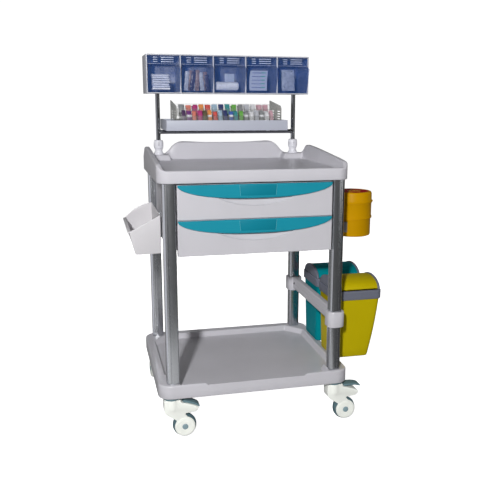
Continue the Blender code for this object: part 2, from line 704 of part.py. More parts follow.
def rack_tray():
    """Shallow sheet-metal tray on the crossbar."""
    (x0, x1), (y0, y1), (z0, z1) = RACK_TRAY_X, RACK_TRAY_Y, RACK_TRAY_Z
    wall = RACK_TRAY_WALL
    inside = block(x0 + wall, x1 - wall, y0 + wall, y1 - wall, z0 + wall, z1 + OVER)
    node("rack_tray", cut(block(x0, x1, y0, y1, z0, z1), inside), TRAY_PAINT)


def dispenser_rack():
    """Clear stepped rack with two rows of compartments and sloping ends."""
    floor = RACK_TRAY_Z[0] + RACK_TRAY_WALL + GAP
    (x0, x1), (y0, y1) = RACK_X, RACK_Y
    wall = RACK_WALL
    left, right = x0 + wall, x1 - wall
    ends = [(y0, floor), (y1, floor), (y1, RACK_END_BACK), (y1 - RACK_END_FLAT, RACK_END_BACK),
            (y0, RACK_END_FRONT)]
    rows = [block(left, right, front + wall, back, floor + wall, RACK_SKY)
            for front, back in ((y0, RACK_MIDDLE_Y), (RACK_MIDDLE_Y, y1 - wall))]
    above_walls = [block(left, right, y - RACK_PASS, y + wall + RACK_PASS, top, RACK_SKY)
                   for y, top in ((y0, RACK_FRONT_WALL), (RACK_MIDDLE_Y, RACK_MIDDLE_WALL),
                                  (y1 - wall, RACK_BACK_WALL))]
    node("dispenser_rack", cut(prism(ends, x0, x1, "x"), *rows, *above_walls), CLEAR_GREY)


def bin_positions():
    """Width of one compartment and the centre of each."""
    clear = 2 * BIN_UNIT_HALF_X - (BIN_COUNT + 1) * BIN_UNIT_WALL
    width = clear / BIN_COUNT
    first = -BIN_UNIT_HALF_X + BIN_UNIT_WALL + width / 2
    return width, [first + i * (width + BIN_UNIT_WALL) for i in range(BIN_COUNT)]


def bin_frame():
    """White housing with a compartment for each tilt bin."""
    back = BIN_UNIT_FRONT + BIN_UNIT_DEEP
    body = block(-BIN_UNIT_HALF_X, BIN_UNIT_HALF_X, BIN_UNIT_FRONT, back,
                 BIN_UNIT_BOTTOM, BIN_UNIT_TOP)
    width, centres = bin_positions()
    holes = [block(x - width / 2, x + width / 2, BIN_UNIT_FRONT - OVER, back - BIN_UNIT_WALL,
                   BIN_UNIT_BOTTOM + BIN_UNIT_WALL, BIN_UNIT_TOP - BIN_UNIT_WALL)
             for x in centres]
    node("bin_frame", cut(body, *holes), FRAME_WHITE)


def bin_section(radius, arc, front, *mouth):
    """Side outline of a tilt bin about its pivot: straight front and round back."""
    start, sweep = (math.radians(angle) for angle in arc)
    return [*front, *circle(radius, BIN_ARC_STEPS, (0, 0), start, sweep), *mouth]


def tilt_bins():
    """Tip-out bins: label recess, flared front, quarter-round back about the pivot."""
    width, centres = bin_positions()
    half = width / 2 - BIN_SIDE_GAP
    outer = bin_section(BIN_R, BIN_OUTER_ARC, BIN_FRONT)
    inner = bin_section(BIN_R - BIN_WALL, BIN_INNER_ARC, BIN_FRONT_INSIDE, BIN_REAR_LIP)
    for i, x in enumerate(centres):
        shell = cut(prism(outer, -half, half, "x"),
                    prism(inner, -half + BIN_WALL, half - BIN_WALL, "x"))
        pivot = (x, BIN_PIVOT_Y, BIN_PIVOT_Z)
        node(f"tilt_bin_{i + 1}", moved(shell, pivot), BLUE_CLEAR, pivot)


# ---------------------------------------------------------------- left-hand side bin
def side_bin():
    """Open bin with a sloping mouth, hooked to the left cabinet side."""
    x, wall = SIDE_BIN_INNER_X, SIDE_BIN_WALL
    section = [(x, SIDE_BIN_BOTTOM), (x, SIDE_BIN_BACK_Z)] + [(x - u, z) for u, z in SIDE_BIN_LIP]
    hollow = [(x - wall, SIDE_BIN_BOTTOM + wall), (x - wall, SIDE_BIN_SKY),
              (x - 2 * SIDE_BIN_REACH, SIDE_BIN_SKY)] + [(x - u, z) for u, z in SIDE_BIN_HOLLOW]
    y0, y1 = SIDE_BIN_Y
    node("side_bin", cut(prism(section, y0, y1, "y"), prism(hollow, y0 + wall, y1 - wall, "y")),
         PANEL)
    arm = block(x + GAP, -CABINET_X - CABINET_SKIN - GAP, *BRACKET_Y, *BRACKET_Z)
    node("side_bin_bracket", arm, STEEL)


# ---------------------------------------------------------------- right-hand rail and waste bins
def side_rail():
    """Rail between two collars clamped round the right-hand posts."""
    (x0, x1), (z0, z1) = RAIL_X, RAIL_Z
    reach = POST_Y - CLAMP_HALF_Y - GAP
    middle_x, middle_z = (x0 + x1) / 2, (z0 + z1) / 2
    section = [(middle_x + u, middle_z + v)
               for u, v in rounded_rectangle((x1 - x0) / 2, (z1 - z0) / 2, RAIL_CORNER)]
    node("side_rail", prism(section, -reach, reach, "y"), ABS)
    low, high = CLAMP_Z
    for name, side in (("front", -1), ("rear", 1)):
        collar = prism(rounded_rectangle(CLAMP_HALF_X, CLAMP_HALF_Y, CLAMP_CORNER), low, high)
        bore = prism(rounded_rectangle(POST_WIDE / 2 + GAP, POST_DEEP / 2 + GAP, POST_CORNER),
                     low - OVER, high + OVER)
        spot = (POST_X, side * POST_Y, 0)
        node("rail_clamp_" + name, moved(cut(collar, bore), spot), ABS, spot)


def ring(x0, x1, half_y, radius, z):
    """A rounded rectangle between x0 and x1, at one height."""
    middle, half_x = (x0 + x1) / 2, (x1 - x0) / 2
    return [(middle + u, v, z) for u, v in rounded_rectangle(half_x, half_y, radius)]


def barrel(half_y, rise, count):
    """Points of the lid's oval arc from front to back, as (y, z) over its base."""
    angles = [math.pi * i / count for i in range(count + 1)]
    return [(-half_y * math.cos(angle), rise * math.sin(angle)) for angle in angles]


def waste_body():
    """Tapered open body."""
    x0, x1 = WASTE_X[0] + WASTE_RIM_THICK + GAP, WASTE_X[1] - WASTE_RIM_THICK - GAP
    half_y = WASTE_HALF_Y - WASTE_RIM_THICK - GAP
    shoulder, top = WASTE_RIM[0] - WASTE_SHOULDER, WASTE_RIM[1] - WASTE_RIM_PLATE
    floor_x0, floor_x1 = WASTE_FLOOR_X
    wall, corner = WASTE_WALL, WASTE_CORNER
    outer = loft([ring(floor_x0, floor_x1, WASTE_FLOOR_HALF_Y, corner, WASTE_BOTTOM),
                  ring(x0, x1, half_y, corner, shoulder),
                  ring(x0, x1, half_y, corner, top)])
    x0, x1, half_y, corner = x0 + wall, x1 - wall, half_y - wall, corner - wall
    inner = loft([ring(floor_x0 + wall, floor_x1 - wall, WASTE_FLOOR_HALF_Y - wall, corner,
                       WASTE_BOTTOM + wall),
                  ring(x0, x1, half_y, corner, shoulder),
                  ring(x0, x1, half_y, corner, top + OVER)])
    return cut(outer, inner)


def waste_rim(half_x, inner_face):
    """Clip-on rim with two arched cheeks that carry the lid's pins."""
    low, high = WASTE_RIM
    outer_face = inner_face + CHEEK_THICK
    seat_x, seat_y = half_x - WASTE_RIM_THICK, WASTE_HALF_Y - WASTE_RIM_THICK
    band = prism(rounded_rectangle(half_x, WASTE_HALF_Y, WASTE_RIM_CORNER), low, high)
    seat = prism(rounded_rectangle(seat_x, seat_y, WASTE_CORNER), low - OVER,
                 high - WASTE_RIM_PLATE + GAP)
    mouth = prism(rounded_rectangle(seat_x - MOUTH_MARGIN_X, seat_y - MOUTH_MARGIN_Y, MOUTH_CORNER),
                  low - OVER, high + OVER)
    foot = high - WASTE_RIM_PLATE / 2
    arch = [(y, z + foot) for y, z in barrel(LID_HALF_Y * CHEEK_LARGER,
                                             WASTE_APEX + LID_SKIN - foot, CHEEK_STEPS)]
    cheeks = [prism(arch, -outer_face, -inner_face, "x"), prism(arch, inner_face, outer_face, "x")]
    pin_hole = rod(LID_PIN_R + GAP, -half_x - OVER, half_x + OVER, (0, 0, LID_PIN_Z), "x",
                   LID_PIN_SIDES)
    return cut(union(cut(band, seat, mouth), *cheeks), pin_hole)


def waste_lid(reach):
    """Barrel lid with closed ends and a pin at each."""
    rise = WASTE_APEX - LID_BASE_Z
    over = [(y, z + LID_BASE_Z) for y, z in barrel(LID_HALF_Y, rise, LID_STEPS)]
    under = [(y, z + LID_BASE_Z - GAP) for y, z in barrel(LID_HALF_Y - LID_SKIN, rise - LID_SKIN,
                                                          LID_STEPS)]
    shell = prism(over + under[::-1], -reach, reach, "x")
    middle_z = LID_BASE_Z + rise / 2
    web = [(y * (1 - LID_SKIN / LID_HALF_Y), z + (middle_z - z) * LID_SKIN / rise) for y, z in over]
    pin = (0, 0, LID_PIN_Z)
    tip = reach + LID_PIN_REACH
    root = reach - LID_WEB
    return union(shell,
                 prism(web, -reach, -root, "x"), prism(web, root, reach, "x"),
                 rod(LID_PIN_R, -tip, -root, pin, "x", LID_PIN_SIDES),
                 rod(LID_PIN_R, root, tip, pin, "x", LID_PIN_SIDES))


def waste_bins():
    middle_x = (WASTE_X[0] + WASTE_X[1]) / 2
    half_x = (WASTE_X[1] - WASTE_X[0]) / 2
    inner_face = half_x - CHEEK_INSET - CHEEK_THICK
    for name, centre_y in WASTE_CENTRES.items():
        colour = {"yellow": WASTE_YELLOW, "teal": WASTE_TEAL}[name]
        spot = (middle_x, centre_y, 0)
        node(f"waste_body_{name}", moved(waste_body(), (0, centre_y, 0)), colour)
        node(f"waste_rim_{name}", moved(waste_rim(half_x, inner_face), spot), RIM_GREY, spot)
        node(f"waste_lid_{name}", moved(waste_lid(inner_face - LID_SIDE_GAP), spot), colour,
             (middle_x, centre_y, LID_PIN_Z))


# ---------------------------------------------------------------- sharps container
def sharps_tub(radius, slim):
    """Stepped round tub, open at the top."""
    low, wall = SHARPS_Z[0], SHARPS_WALL
    top = SHARPS_SPLIT - GAP
    edge = wall * 2
    profile = [(0, low), (slim - edge, low), (slim, low + edge), (slim, SHARPS_STEP),
               (radius, SHARPS_STEP), (radius, top), (radius - wall, top),
               (radius - wall, SHARPS_STEP + wall), (slim - wall, SHARPS_STEP),
               (slim - wall, low + edge), (slim - edge, low + wall), (0, low + wall)]
    return turned(profile, SHARPS_SIDES)


def sharps_cap(radius):
    """Lid with a lip over the tub, a raised rim round a dished top, and a hinge knuckle."""
    top, split, wall = SHARPS_Z[1], SHARPS_SPLIT, SHARPS_WALL
    dish = top - CAP_DISH
    profile = [(0, dish), (radius - CAP_RIM_WIDE - wall, dish), (radius - CAP_RIM_WIDE, top),
               (radius - wall, top), (radius - CAP_LIP, top - wall),
               (radius, split + CAP_LIP_RISE + CAP_LIP), (radius + CAP_LIP, split + CAP_LIP_RISE),
               (radius + CAP_LIP, split), (radius - wall, split),
               (radius - 2 * wall, dish - wall - CAP_LIP), (0, dish - wall - CAP_LIP)]
    knuckle = block(radius, radius + KNUCKLE_REACH, -KNUCKLE_HALF, KNUCKLE_HALF,
                    split, split + CAP_LIP_RISE)
    return union(turned(profile, SHARPS_SIDES), knuckle)


def sharps_holder(slim):
    """Wall plate, arm and a half-round cradle."""
    start, sweep = (math.radians(angle) for angle in CRADLE_ARC)
    centre = (SHARPS_X, SHARPS_Y)
    wall_x = CABINET_X + CABINET_SKIN + GAP
    plate = block(wall_x, wall_x + HOLDER_THICK, *HOLDER_PLATE_Y, *HOLDER_PLATE_Z)
    hug, shell = (circle(slim + reach, ROD_SIDES, centre, start, sweep)
                  for reach in (CRADLE_GAP, CRADLE_GAP + HOLDER_THICK))
    arm = block(wall_x + HOLDER_THICK / 2, SHARPS_X - slim - HOLDER_THICK, *HOLDER_ARM_Y,
                *HOLDER_ARM_Z)
    return union(plate, arm, prism(hug + shell[::-1], *CRADLE_Z))


def sharps():
    """Sharps tub in a cradle on the right cabinet side, with a hinged lid."""
    slim = SHARPS_R - SHARPS_SLIM
    centre = (SHARPS_X, SHARPS_Y, 0)
    node("sharps_container", moved(sharps_tub(SHARPS_R, slim), centre), SHARPS_YELLOW, centre)
    node("sharps_lid", moved(sharps_cap(SHARPS_R), centre), SHARPS_YELLOW,
         (SHARPS_HINGE_X, SHARPS_Y, SHARPS_HINGE_Z))
    node("sharps_holder", sharps_holder(slim), STEEL)


base_tray()
worktop()
posts()
cabinet()
drawer("upper_drawer", *UPPER_DRAWER)
drawer("lower_drawer", *LOWER_DRAWER)
runners()
casters()
rack_frame()
rod_sockets()
rack_tray()
dispenser_rack()
bin_frame()
tilt_bins()
side_bin()
side_rail()
waste_bins()
sharps()
bpy.context.view_layer.update()
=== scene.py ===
"""Looks for the hospital medication cart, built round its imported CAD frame."""
import math
import random

import bmesh
import bpy
from mathutils import Matrix, Vector


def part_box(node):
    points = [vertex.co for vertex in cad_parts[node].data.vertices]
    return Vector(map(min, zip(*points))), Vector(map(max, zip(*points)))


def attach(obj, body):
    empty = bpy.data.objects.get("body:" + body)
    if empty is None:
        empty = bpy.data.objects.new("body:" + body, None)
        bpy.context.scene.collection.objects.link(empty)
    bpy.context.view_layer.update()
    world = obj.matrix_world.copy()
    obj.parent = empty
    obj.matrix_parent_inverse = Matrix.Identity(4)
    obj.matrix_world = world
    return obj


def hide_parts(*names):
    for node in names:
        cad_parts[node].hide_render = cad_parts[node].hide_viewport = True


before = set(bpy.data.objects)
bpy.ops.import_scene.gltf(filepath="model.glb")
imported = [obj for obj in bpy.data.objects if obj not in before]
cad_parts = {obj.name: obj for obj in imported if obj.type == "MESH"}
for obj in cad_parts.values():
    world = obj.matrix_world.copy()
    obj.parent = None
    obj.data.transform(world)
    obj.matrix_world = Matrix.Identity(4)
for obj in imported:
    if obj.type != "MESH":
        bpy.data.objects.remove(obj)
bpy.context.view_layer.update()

# ---------------------------------------------------------------- the cart's own frame
_low, _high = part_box("base_tray")
CENTRE = Vector(((_low.x + _high.x) / 2, (_low.y + _high.y) / 2, 0))
TOUCH = 0.0003               # clearance that the CAD keeps between touching pieces


def box(node):
    """Lowest and highest corner of a CAD node, in the cart's own frame."""
    low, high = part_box(node)
    return low - CENTRE, high - CENTRE


def halves(low, high):
    """Half of a box's size along x, y and z."""
    return [(b - a) / 2 for a, b in zip(low, high)]


# ---------------------------------------------------------------- materials
def blank(name):
    made = bpy.data.materials.new(name)
    made.use_nodes = True
    return made, made.node_tree, made.node_tree.nodes["Principled BSDF"]


def clouds(tree, scale, detail=3.0, stretch=(1, 1, 1)):
    """Noise in the piece's own coordinates, from 0 to 1."""
    place = tree.nodes.new("ShaderNodeTexCoord")
    squeeze = tree.nodes.new("ShaderNodeMapping")
    squeeze.inputs["Scale"].default_value = stretch
    made = tree.nodes.new("ShaderNodeTexNoise")
    made.inputs["Scale"].default_value = scale
    made.inputs["Detail"].default_value = detail
    tree.links.new(place.outputs["Object"], squeeze.inputs["Vector"])
    tree.links.new(squeeze.outputs["Vector"], made.inputs["Vector"])
    return made.outputs["Fac"]


def span(tree, source, low, high, start=0.3, end=0.7):
    """A value that runs from low to high as its source runs from start to end."""
    made = tree.nodes.new("ShaderNodeMapRange")
    for name, value in (("From Min", start), ("From Max", end), ("To Min", low), ("To Max", high)):
        made.inputs[name].default_value = value
    tree.links.new(source, made.inputs["Value"])
    return made.outputs["Result"]


def blend_colours(tree, factor, first, second):
    made = tree.nodes.new("ShaderNodeMix")
    made.data_type = "RGBA"
    tree.links.new(factor, made.inputs["Factor"])
    for socket, value in ((made.inputs[6], first), (made.inputs[7], second)):
        if isinstance(value, tuple):
            socket.default_value = (*value, 1)
        else:
            tree.links.new(value, socket)
    return made.outputs[2]


def surface(name, colour, roughness, metallic=0.0, shade=0.03, patch=7.0, grain=650.0,
            depth=0.00003, stretch=(1, 1, 1), smudge=0.03, alpha=1.0, shine=0.5):
    """A worked surface: cloudy tint, uneven gloss and a fine grain under the light."""
    made, tree, shader = blank(name)
    pale = tuple(min(1.0, c * (1 + shade)) for c in colour)
    deep = tuple(c * (1 - shade) for c in colour)
    tint = blend_colours(tree, span(tree, clouds(tree, patch, 4.0, stretch), 0, 1), deep, pale)
    tree.links.new(tint, shader.inputs["Base Color"])
    gloss = span(tree, clouds(tree, patch * 3, 2.0, stretch), roughness - smudge, roughness + smudge)
    tree.links.new(gloss, shader.inputs["Roughness"])
    relief = tree.nodes.new("ShaderNodeBump")
    relief.inputs["Distance"].default_value = depth
    relief.inputs["Strength"].default_value = 0.6
    tree.links.new(clouds(tree, grain, 2.0, stretch), relief.inputs["Height"])
    tree.links.new(relief.outputs["Normal"], shader.inputs["Normal"])
    shader.inputs["Metallic"].default_value = metallic
    shader.inputs["Alpha"].default_value = alpha
    shader.inputs["Specular IOR Level"].default_value = shine
    return made


MOULDED = (0.57, 0.56, 0.60)
ABS = surface("abs_satin", MOULDED, 0.24, grain=900, depth=0.00001, smudge=0.02)
TOP_ABS = surface("abs_worktop", MOULDED, 0.30, grain=900, depth=0.00001, smudge=0.02, shine=0.2)
PANEL = surface("panel_satin", (0.545, 0.535, 0.57), 0.40, grain=800, shine=0.3)
ALUMINIUM = surface("anodised", (0.54, 0.555, 0.58), 0.24, 1.0, 0.03, 60.0, 420.0, 0.0000012,
                    (1, 1, 0.15), 0.015)
TEAL = surface("teal_moulded", (0.008, 0.255, 0.345), 0.36, grain=700, shine=0.3)
TEAL_LABEL = surface("teal_label", (0.005, 0.200, 0.275), 0.40, shine=0.12)
# paler teal for the label's edge strips: a painted highlight along the holder's edges
LABEL_EDGE_HIGHLIGHT = surface("label_edge_highlight", (0.08, 0.36, 0.43), 0.3)
STEEL = surface("zinc_plate", (0.42, 0.43, 0.45), 0.38, 1.0, 0.10, 60.0)
CHROME = surface("chrome", (0.30, 0.31, 0.33), 0.09, 1.0, 0.03, 20.0, 300, 0.00001, smudge=0.02)
CASTER_WHITE = surface("caster_shell", (0.97, 0.99, 0.93), 0.33, shade=0.01)
CASTER_GREY = surface("caster_grey", (0.13, 0.22, 0.25), 0.4)
CAP_GREY = surface("cap_grey", (0.25, 0.36, 0.40), 0.4)
TYRE = surface("tyre_rubber", (0.085, 0.155, 0.18), 0.6, shade=0.12, patch=40, depth=0.0001)
SOCKET_WHITE = surface("socket_nylon", (0.74, 0.74, 0.79), 0.36)
TRAY_PAINT = surface("tray_paint", (0.47, 0.49, 0.57), 0.42, grain=1100, depth=0.00005, shine=0.3)
RACK_CLEAR = surface("rack_clear", (0.34, 0.35, 0.34), 0.16, alpha=0.14)
RACK_END = surface("rack_end", (0.33, 0.34, 0.31), 0.22, alpha=0.66)
FRAME_WHITE = surface("frame_white", (0.54, 0.55, 0.61), 0.34, shine=0.3)
BIN_CLEAR = [surface(f"bin_clear_{i + 1}", (0.012, 0.110, 0.50), 0.12, alpha=0.17 + 0.04 * i, shade=0.10)
             for i in range(5)]
BIN_FRONT = surface("bin_front", (0.08, 0.20, 0.60), 0.10, alpha=0.13, shade=0.10)
BIN_LABEL = surface("bin_label", (0.58, 0.64, 0.82), 0.25, alpha=0.8)
BIN_WHITE = surface("side_bin_white", (0.63, 0.615, 0.635), 0.36, shine=0.3)
WASTE_YELLOW = surface("waste_yellow", (0.51, 0.41, 0.002), 0.46, grain=500, depth=0.00005, shine=0.08)
WASTE_TEAL = surface("waste_teal", (0.0005, 0.23, 0.27), 0.46, grain=500, depth=0.00005, shine=0.03)
RIM_GREY = surface("rim_grey", (0.150, 0.160, 0.205), 0.46, grain=500, depth=0.00005, shine=0.3)
SHARPS_YELLOW = surface("sharps_yellow", (0.56, 0.285, 0.0005), 0.34, shine=0.07)
LABEL_RED = surface("label_red", (0.40, 0.006, 0.005), 0.4, shine=0.02)
LABEL_YELLOW = surface("label_yellow", (0.62, 0.48, 0.02), 0.4, shine=0.1)
SCREW = surface("screw_black", (0.03, 0.03, 0.035), 0.35, 0.6)
DARK = surface("dark_fastener", (0.02, 0.02, 0.022), 0.5)
PAPER = surface("paper_pack", (0.80, 0.82, 0.90), 0.6, shade=0.12, patch=60, grain=300, depth=0.0004)


# ---------------------------------------------------------------- shape helpers
def rounded(half_x, half_y, radius, steps=8):
    """Points of a rounded rectangle about the origin, counter-clockwise."""
    points = []
    for side_x, side_y, start in ((1, 1, 0), (-1, 1, 90), (-1, -1, 180), (1, -1, 270)):
        for step in range(steps + 1):
            angle = math.radians(start + 90 * step / steps)
            points.append((side_x * (half_x - radius) + radius * math.cos(angle),
                           side_y * (half_y - radius) + radius * math.sin(angle)))
    return points


def circle(radius, sides=64, centre=(0, 0), start=0.0, sweep=2 * math.pi):
    """Points of a circle, or of an arc with both ends when sweep is less than a turn."""
    whole = abs(sweep) > 2 * math.pi - 1e-6
    count = sides if whole else sides + 1
    return [(centre[0] + radius * math.cos(start + sweep * i / sides),
             centre[1] + radius * math.sin(start + sweep * i / sides)) for i in range(count)]


def rectangle(x0, x1, y0, y1):
    return [(x0, y0), (x1, y0), (x1, y1), (x0, y1)]


def smooth_step(value, start=0.0, end=1.0):
    share = min(1.0, max(0.0, (value - start) / (end - start)))
    return share * share * (3 - 2 * share)


def edge_fall(depth, easing):
    """How far a rounded edge falls below its face, at a depth inside the outline."""
    if depth >= easing:
        return 0.0
    return easing - math.sqrt(max(easing ** 2 - (easing - depth) ** 2, 0))


def along(knots, x):
    """Height at x of a smooth curve through (x, height) knots."""
    if x <= knots[0][0]:
        return knots[0][1]
    if x >= knots[-1][0]:
        return knots[-1][1]
    i = max(k for k in range(len(knots) - 1) if knots[k][0] <= x)

    def slope(k):
        before, after = knots[max(k - 1, 0)], knots[min(k + 1, len(knots) - 1)]
        return (after[1] - before[1]) / (after[0] - before[0])

    (x0, y0), (x1, y1) = knots[i], knots[i + 1]
    wide, t = x1 - x0, (x - x0) / (x1 - x0)
    return ((2 * t ** 3 - 3 * t ** 2 + 1) * y0 + (t ** 3 - 2 * t ** 2 + t) * wide * slope(i)
            + (3 * t ** 2 - 2 * t ** 3) * y1 + (t ** 3 - t ** 2) * wide * slope(i + 1))


def soft_outline(points, steps=6):
    """A closed Catmull-Rom curve through the points."""
    made = []
    count = len(points)
    for i in range(count):
        a, b, c, d = (Vector((*points[(i + k) % count], 0)) for k in (-1, 0, 1, 2))
        for step in range(steps):
            t = step / steps
            spot = 0.5 * (2 * b + (c - a) * t + (2 * a - 5 * b + 4 * c - d) * t ** 2
                          + (3 * b - a - 3 * c + d) * t ** 3)
            made.append((spot.x, spot.y))
    return made


def as_mesh(shape):
    mesh = bpy.data.meshes.new("shape")
    bmesh.ops.recalc_face_normals(shape, faces=shape.faces)
    shape.to_mesh(mesh)
    shape.free()
    return mesh


def loft(rings, closed=False):
    """A mesh through rings of equal length, capped at both ends unless it closes on itself."""
    shape = bmesh.new()
    rows = [[shape.verts.new(point) for point in ring] for ring in rings]
    count = len(rows[0])
    pairs = list(zip(rows, rows[1:])) + ([(rows[-1], rows[0])] if closed else [])
    for lower, upper in pairs:
        for i in range(count):
            j = (i + 1) % count
            shape.faces.new((lower[i], lower[j], upper[j], upper[i]))
    if not closed:
        shape.faces.new(list(reversed(rows[0])))
        shape.faces.new(rows[-1])
    return as_mesh(shape)


AXES = {"z": lambda u, v, w: (u, v, w), "y": lambda u, v, w: (u, w, v), "x": lambda u, v, w: (w, u, v)}


def prism(outline, low, high, axis="z"):
    """An outline pushed along an axis; (u, v) is (x, y), (x, z) or (y, z)."""
    return loft([[AXES[axis](u, v, w) for u, v in outline] for w in (low, high)])


def block(x0, x1, y0, y1, z0, z1):
    return prism(rectangle(x0, x1, y0, y1), z0, z1)


def filled(low, high):
    """A block between two opposite corners."""
    return block(low.x, high.x, low.y, high.y, low.z, high.z)


def turned(profile, sides=72, axis="z", centre=(0, 0, 0)):
    """A closed (radius, height) profile turned about an axis through centre."""
    shift = Vector(centre)
    rings = []
    for i in range(sides):
        angle = 2 * math.pi * i / sides
        rings.append([Vector(AXES[axis](r * math.cos(angle), r * math.sin(angle), h)) + shift
                      for r, h in profile])
    mesh = loft(rings, closed=True)
    shape = bmesh.new()
    shape.from_mesh(mesh)
    bmesh.ops.remove_doubles(shape, verts=shape.verts, dist=1e-6)
    shape.to_mesh(mesh)
    shape.free()
    return mesh


def rod(radius, start, end, soft=0.0, sides=24, axis="z", centre=(0, 0, 0)):
    """A round bar along an axis, with its corners softened if soft is given."""
    profile = [(0, start), (radius, start), (radius, end), (0, end)]
    return turned(softened(profile, soft) if soft else profile, sides, axis, centre)


def softened(profile, radius, steps=3):
    """A closed profile with each corner replaced by a short curve."""
    made = []
    count = len(profile)
    for i, (u, v) in enumerate(profile):
        corner = Vector((u, v))
        before, after = Vector(profile[i - 1]), Vector(profile[(i + 1) % count])
        reach_in = min(radius, (before - corner).length * 0.45)
        reach_out = min(radius, (after - corner).length * 0.45)
        if u < 1e-6 or min(reach_in, reach_out) < 1e-6:
            made.append((u, v))
            continue
        start = corner + (before - corner).normalized() * reach_in
        end = corner + (after - corner).normalized() * reach_out
        for step in range(steps + 1):
            t = step / steps
            spot = start * (1 - t) ** 2 + corner * 2 * t * (1 - t) + end * t ** 2
            made.append((spot.x, spot.y))
    return made


def combine(operation, first, *others):
    """Boolean of meshes, done with the EXACT solver; the inputs are used up."""
    base = bpy.data.objects.new("work", first)
    bpy.context.scene.collection.objects.link(base)
    tools = []
    for mesh in others:
        tool = bpy.data.objects.new("tool", mesh)
        bpy.context.scene.collection.objects.link(tool)
        step = base.modifiers.new("boolean", "BOOLEAN")
        step.operation = operation
        step.solver = "EXACT"
        step.object = tool
        tools.append(tool)
    ready = base.evaluated_get(bpy.context.evaluated_depsgraph_get())
    result = bpy.data.meshes.new_from_object(ready)
    for temporary in (base, *tools):
        bpy.data.objects.remove(temporary, do_unlink=True)
    return result


def cut(first, *others):
    return combine("DIFFERENCE", first, *others)


def union(first, *others):
    return combine("UNION", first, *others)


def eased(mesh, width, segments=3, angle=35):
    """The mesh with its edges rounded."""
    work = bpy.data.objects.new("work", mesh)
    bpy.context.scene.collection.objects.link(work)
    step = work.modifiers.new("round", "BEVEL")
    step.width = width
    step.segments = segments
    step.limit_method = "ANGLE"
    step.angle_limit = math.radians(angle)
    ready = work.evaluated_get(bpy.context.evaluated_depsgraph_get())
    result = bpy.data.meshes.new_from_object(ready)
    bpy.data.objects.remove(work, do_unlink=True)
    return result


def joined(*meshes):
    """Several closed bodies in one mesh."""
    shape = bmesh.new()
    for mesh in meshes:
        shape.from_mesh(mesh)
    made = bpy.data.meshes.new("shape")
    shape.to_mesh(made)
    shape.free()
    return made


def shifted(mesh, offset):
    mesh.transform(Matrix.Translation(Vector(offset)))
    return mesh


CREASE = 32                  # degrees, the bend from which an edge is shaded sharp


def piece(name, mesh, finish, body, nodes=(), place=None, sharp=CREASE):
    """Puts a mesh in the scene as a named piece that rides on a body."""
    mesh.name = name
    mesh.materials.clear()
    mesh.materials.append(finish)
    mesh.shade_smooth()
    mesh.set_sharp_from_angle(angle=math.radians(sharp))
    made = bpy.data.objects.new(name, mesh)
    bpy.context.scene.collection.objects.link(made)
    made.matrix_world = Matrix.Translation(CENTRE) @ (place or Matrix.Identity(4))
    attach(made, body)
    if nodes:
        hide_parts(*nodes)
    return made


def keep(node, finish, rounding=0.0006):
    """A CAD node that stays on show, with its own finish and eased edges."""
    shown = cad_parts[node]
    shown.data.materials.clear()
    shown.data.materials.append(finish)
    step = shown.modifiers.new("round", "BEVEL")
    step.width = rounding
    step.segments = 2
    step.limit_method = "ANGLE"
    step.angle_limit = math.radians(40)


# ---------------------------------------------------------------- moulded trays
def slab_depth(x, y, half_x, half_y, radius):
    """How far inside a rounded rectangle a point lies."""
    u, v = abs(x) - (half_x - radius), abs(y) - (half_y - radius)
    outside = math.hypot(max(u, 0), max(v, 0)) + min(max(u, v), 0)
    return radius - outside


def edge_point(x, y, half_x, half_y, radius):
    """The nearest point on the rounded rectangle's edge."""
    u, v = abs(x) - (half_x - radius), abs(y) - (half_y - radius)
    if u > 0 and v > 0:
        reach = max(math.hypot(u, v), 1e-9)
        near = (half_x - radius + radius * u / reach, half_y - radius + radius * v / reach)
    elif half_x - abs(x) < half_y - abs(y):
        near = (half_x, abs(y))
    else:
        near = (abs(x), half_y)
    return math.copysign(near[0], x), math.copysign(near[1], y)


def reach_of(test, angle, longest):
    """Distance from the centre along an angle at which the test stops being true."""
    near, far = 0.0, longest
    for _ in range(20):
        half = (near + far) / 2
        if test(half * math.cos(angle), half * math.sin(angle)):
            near = half
        else:
            far = half
    return near


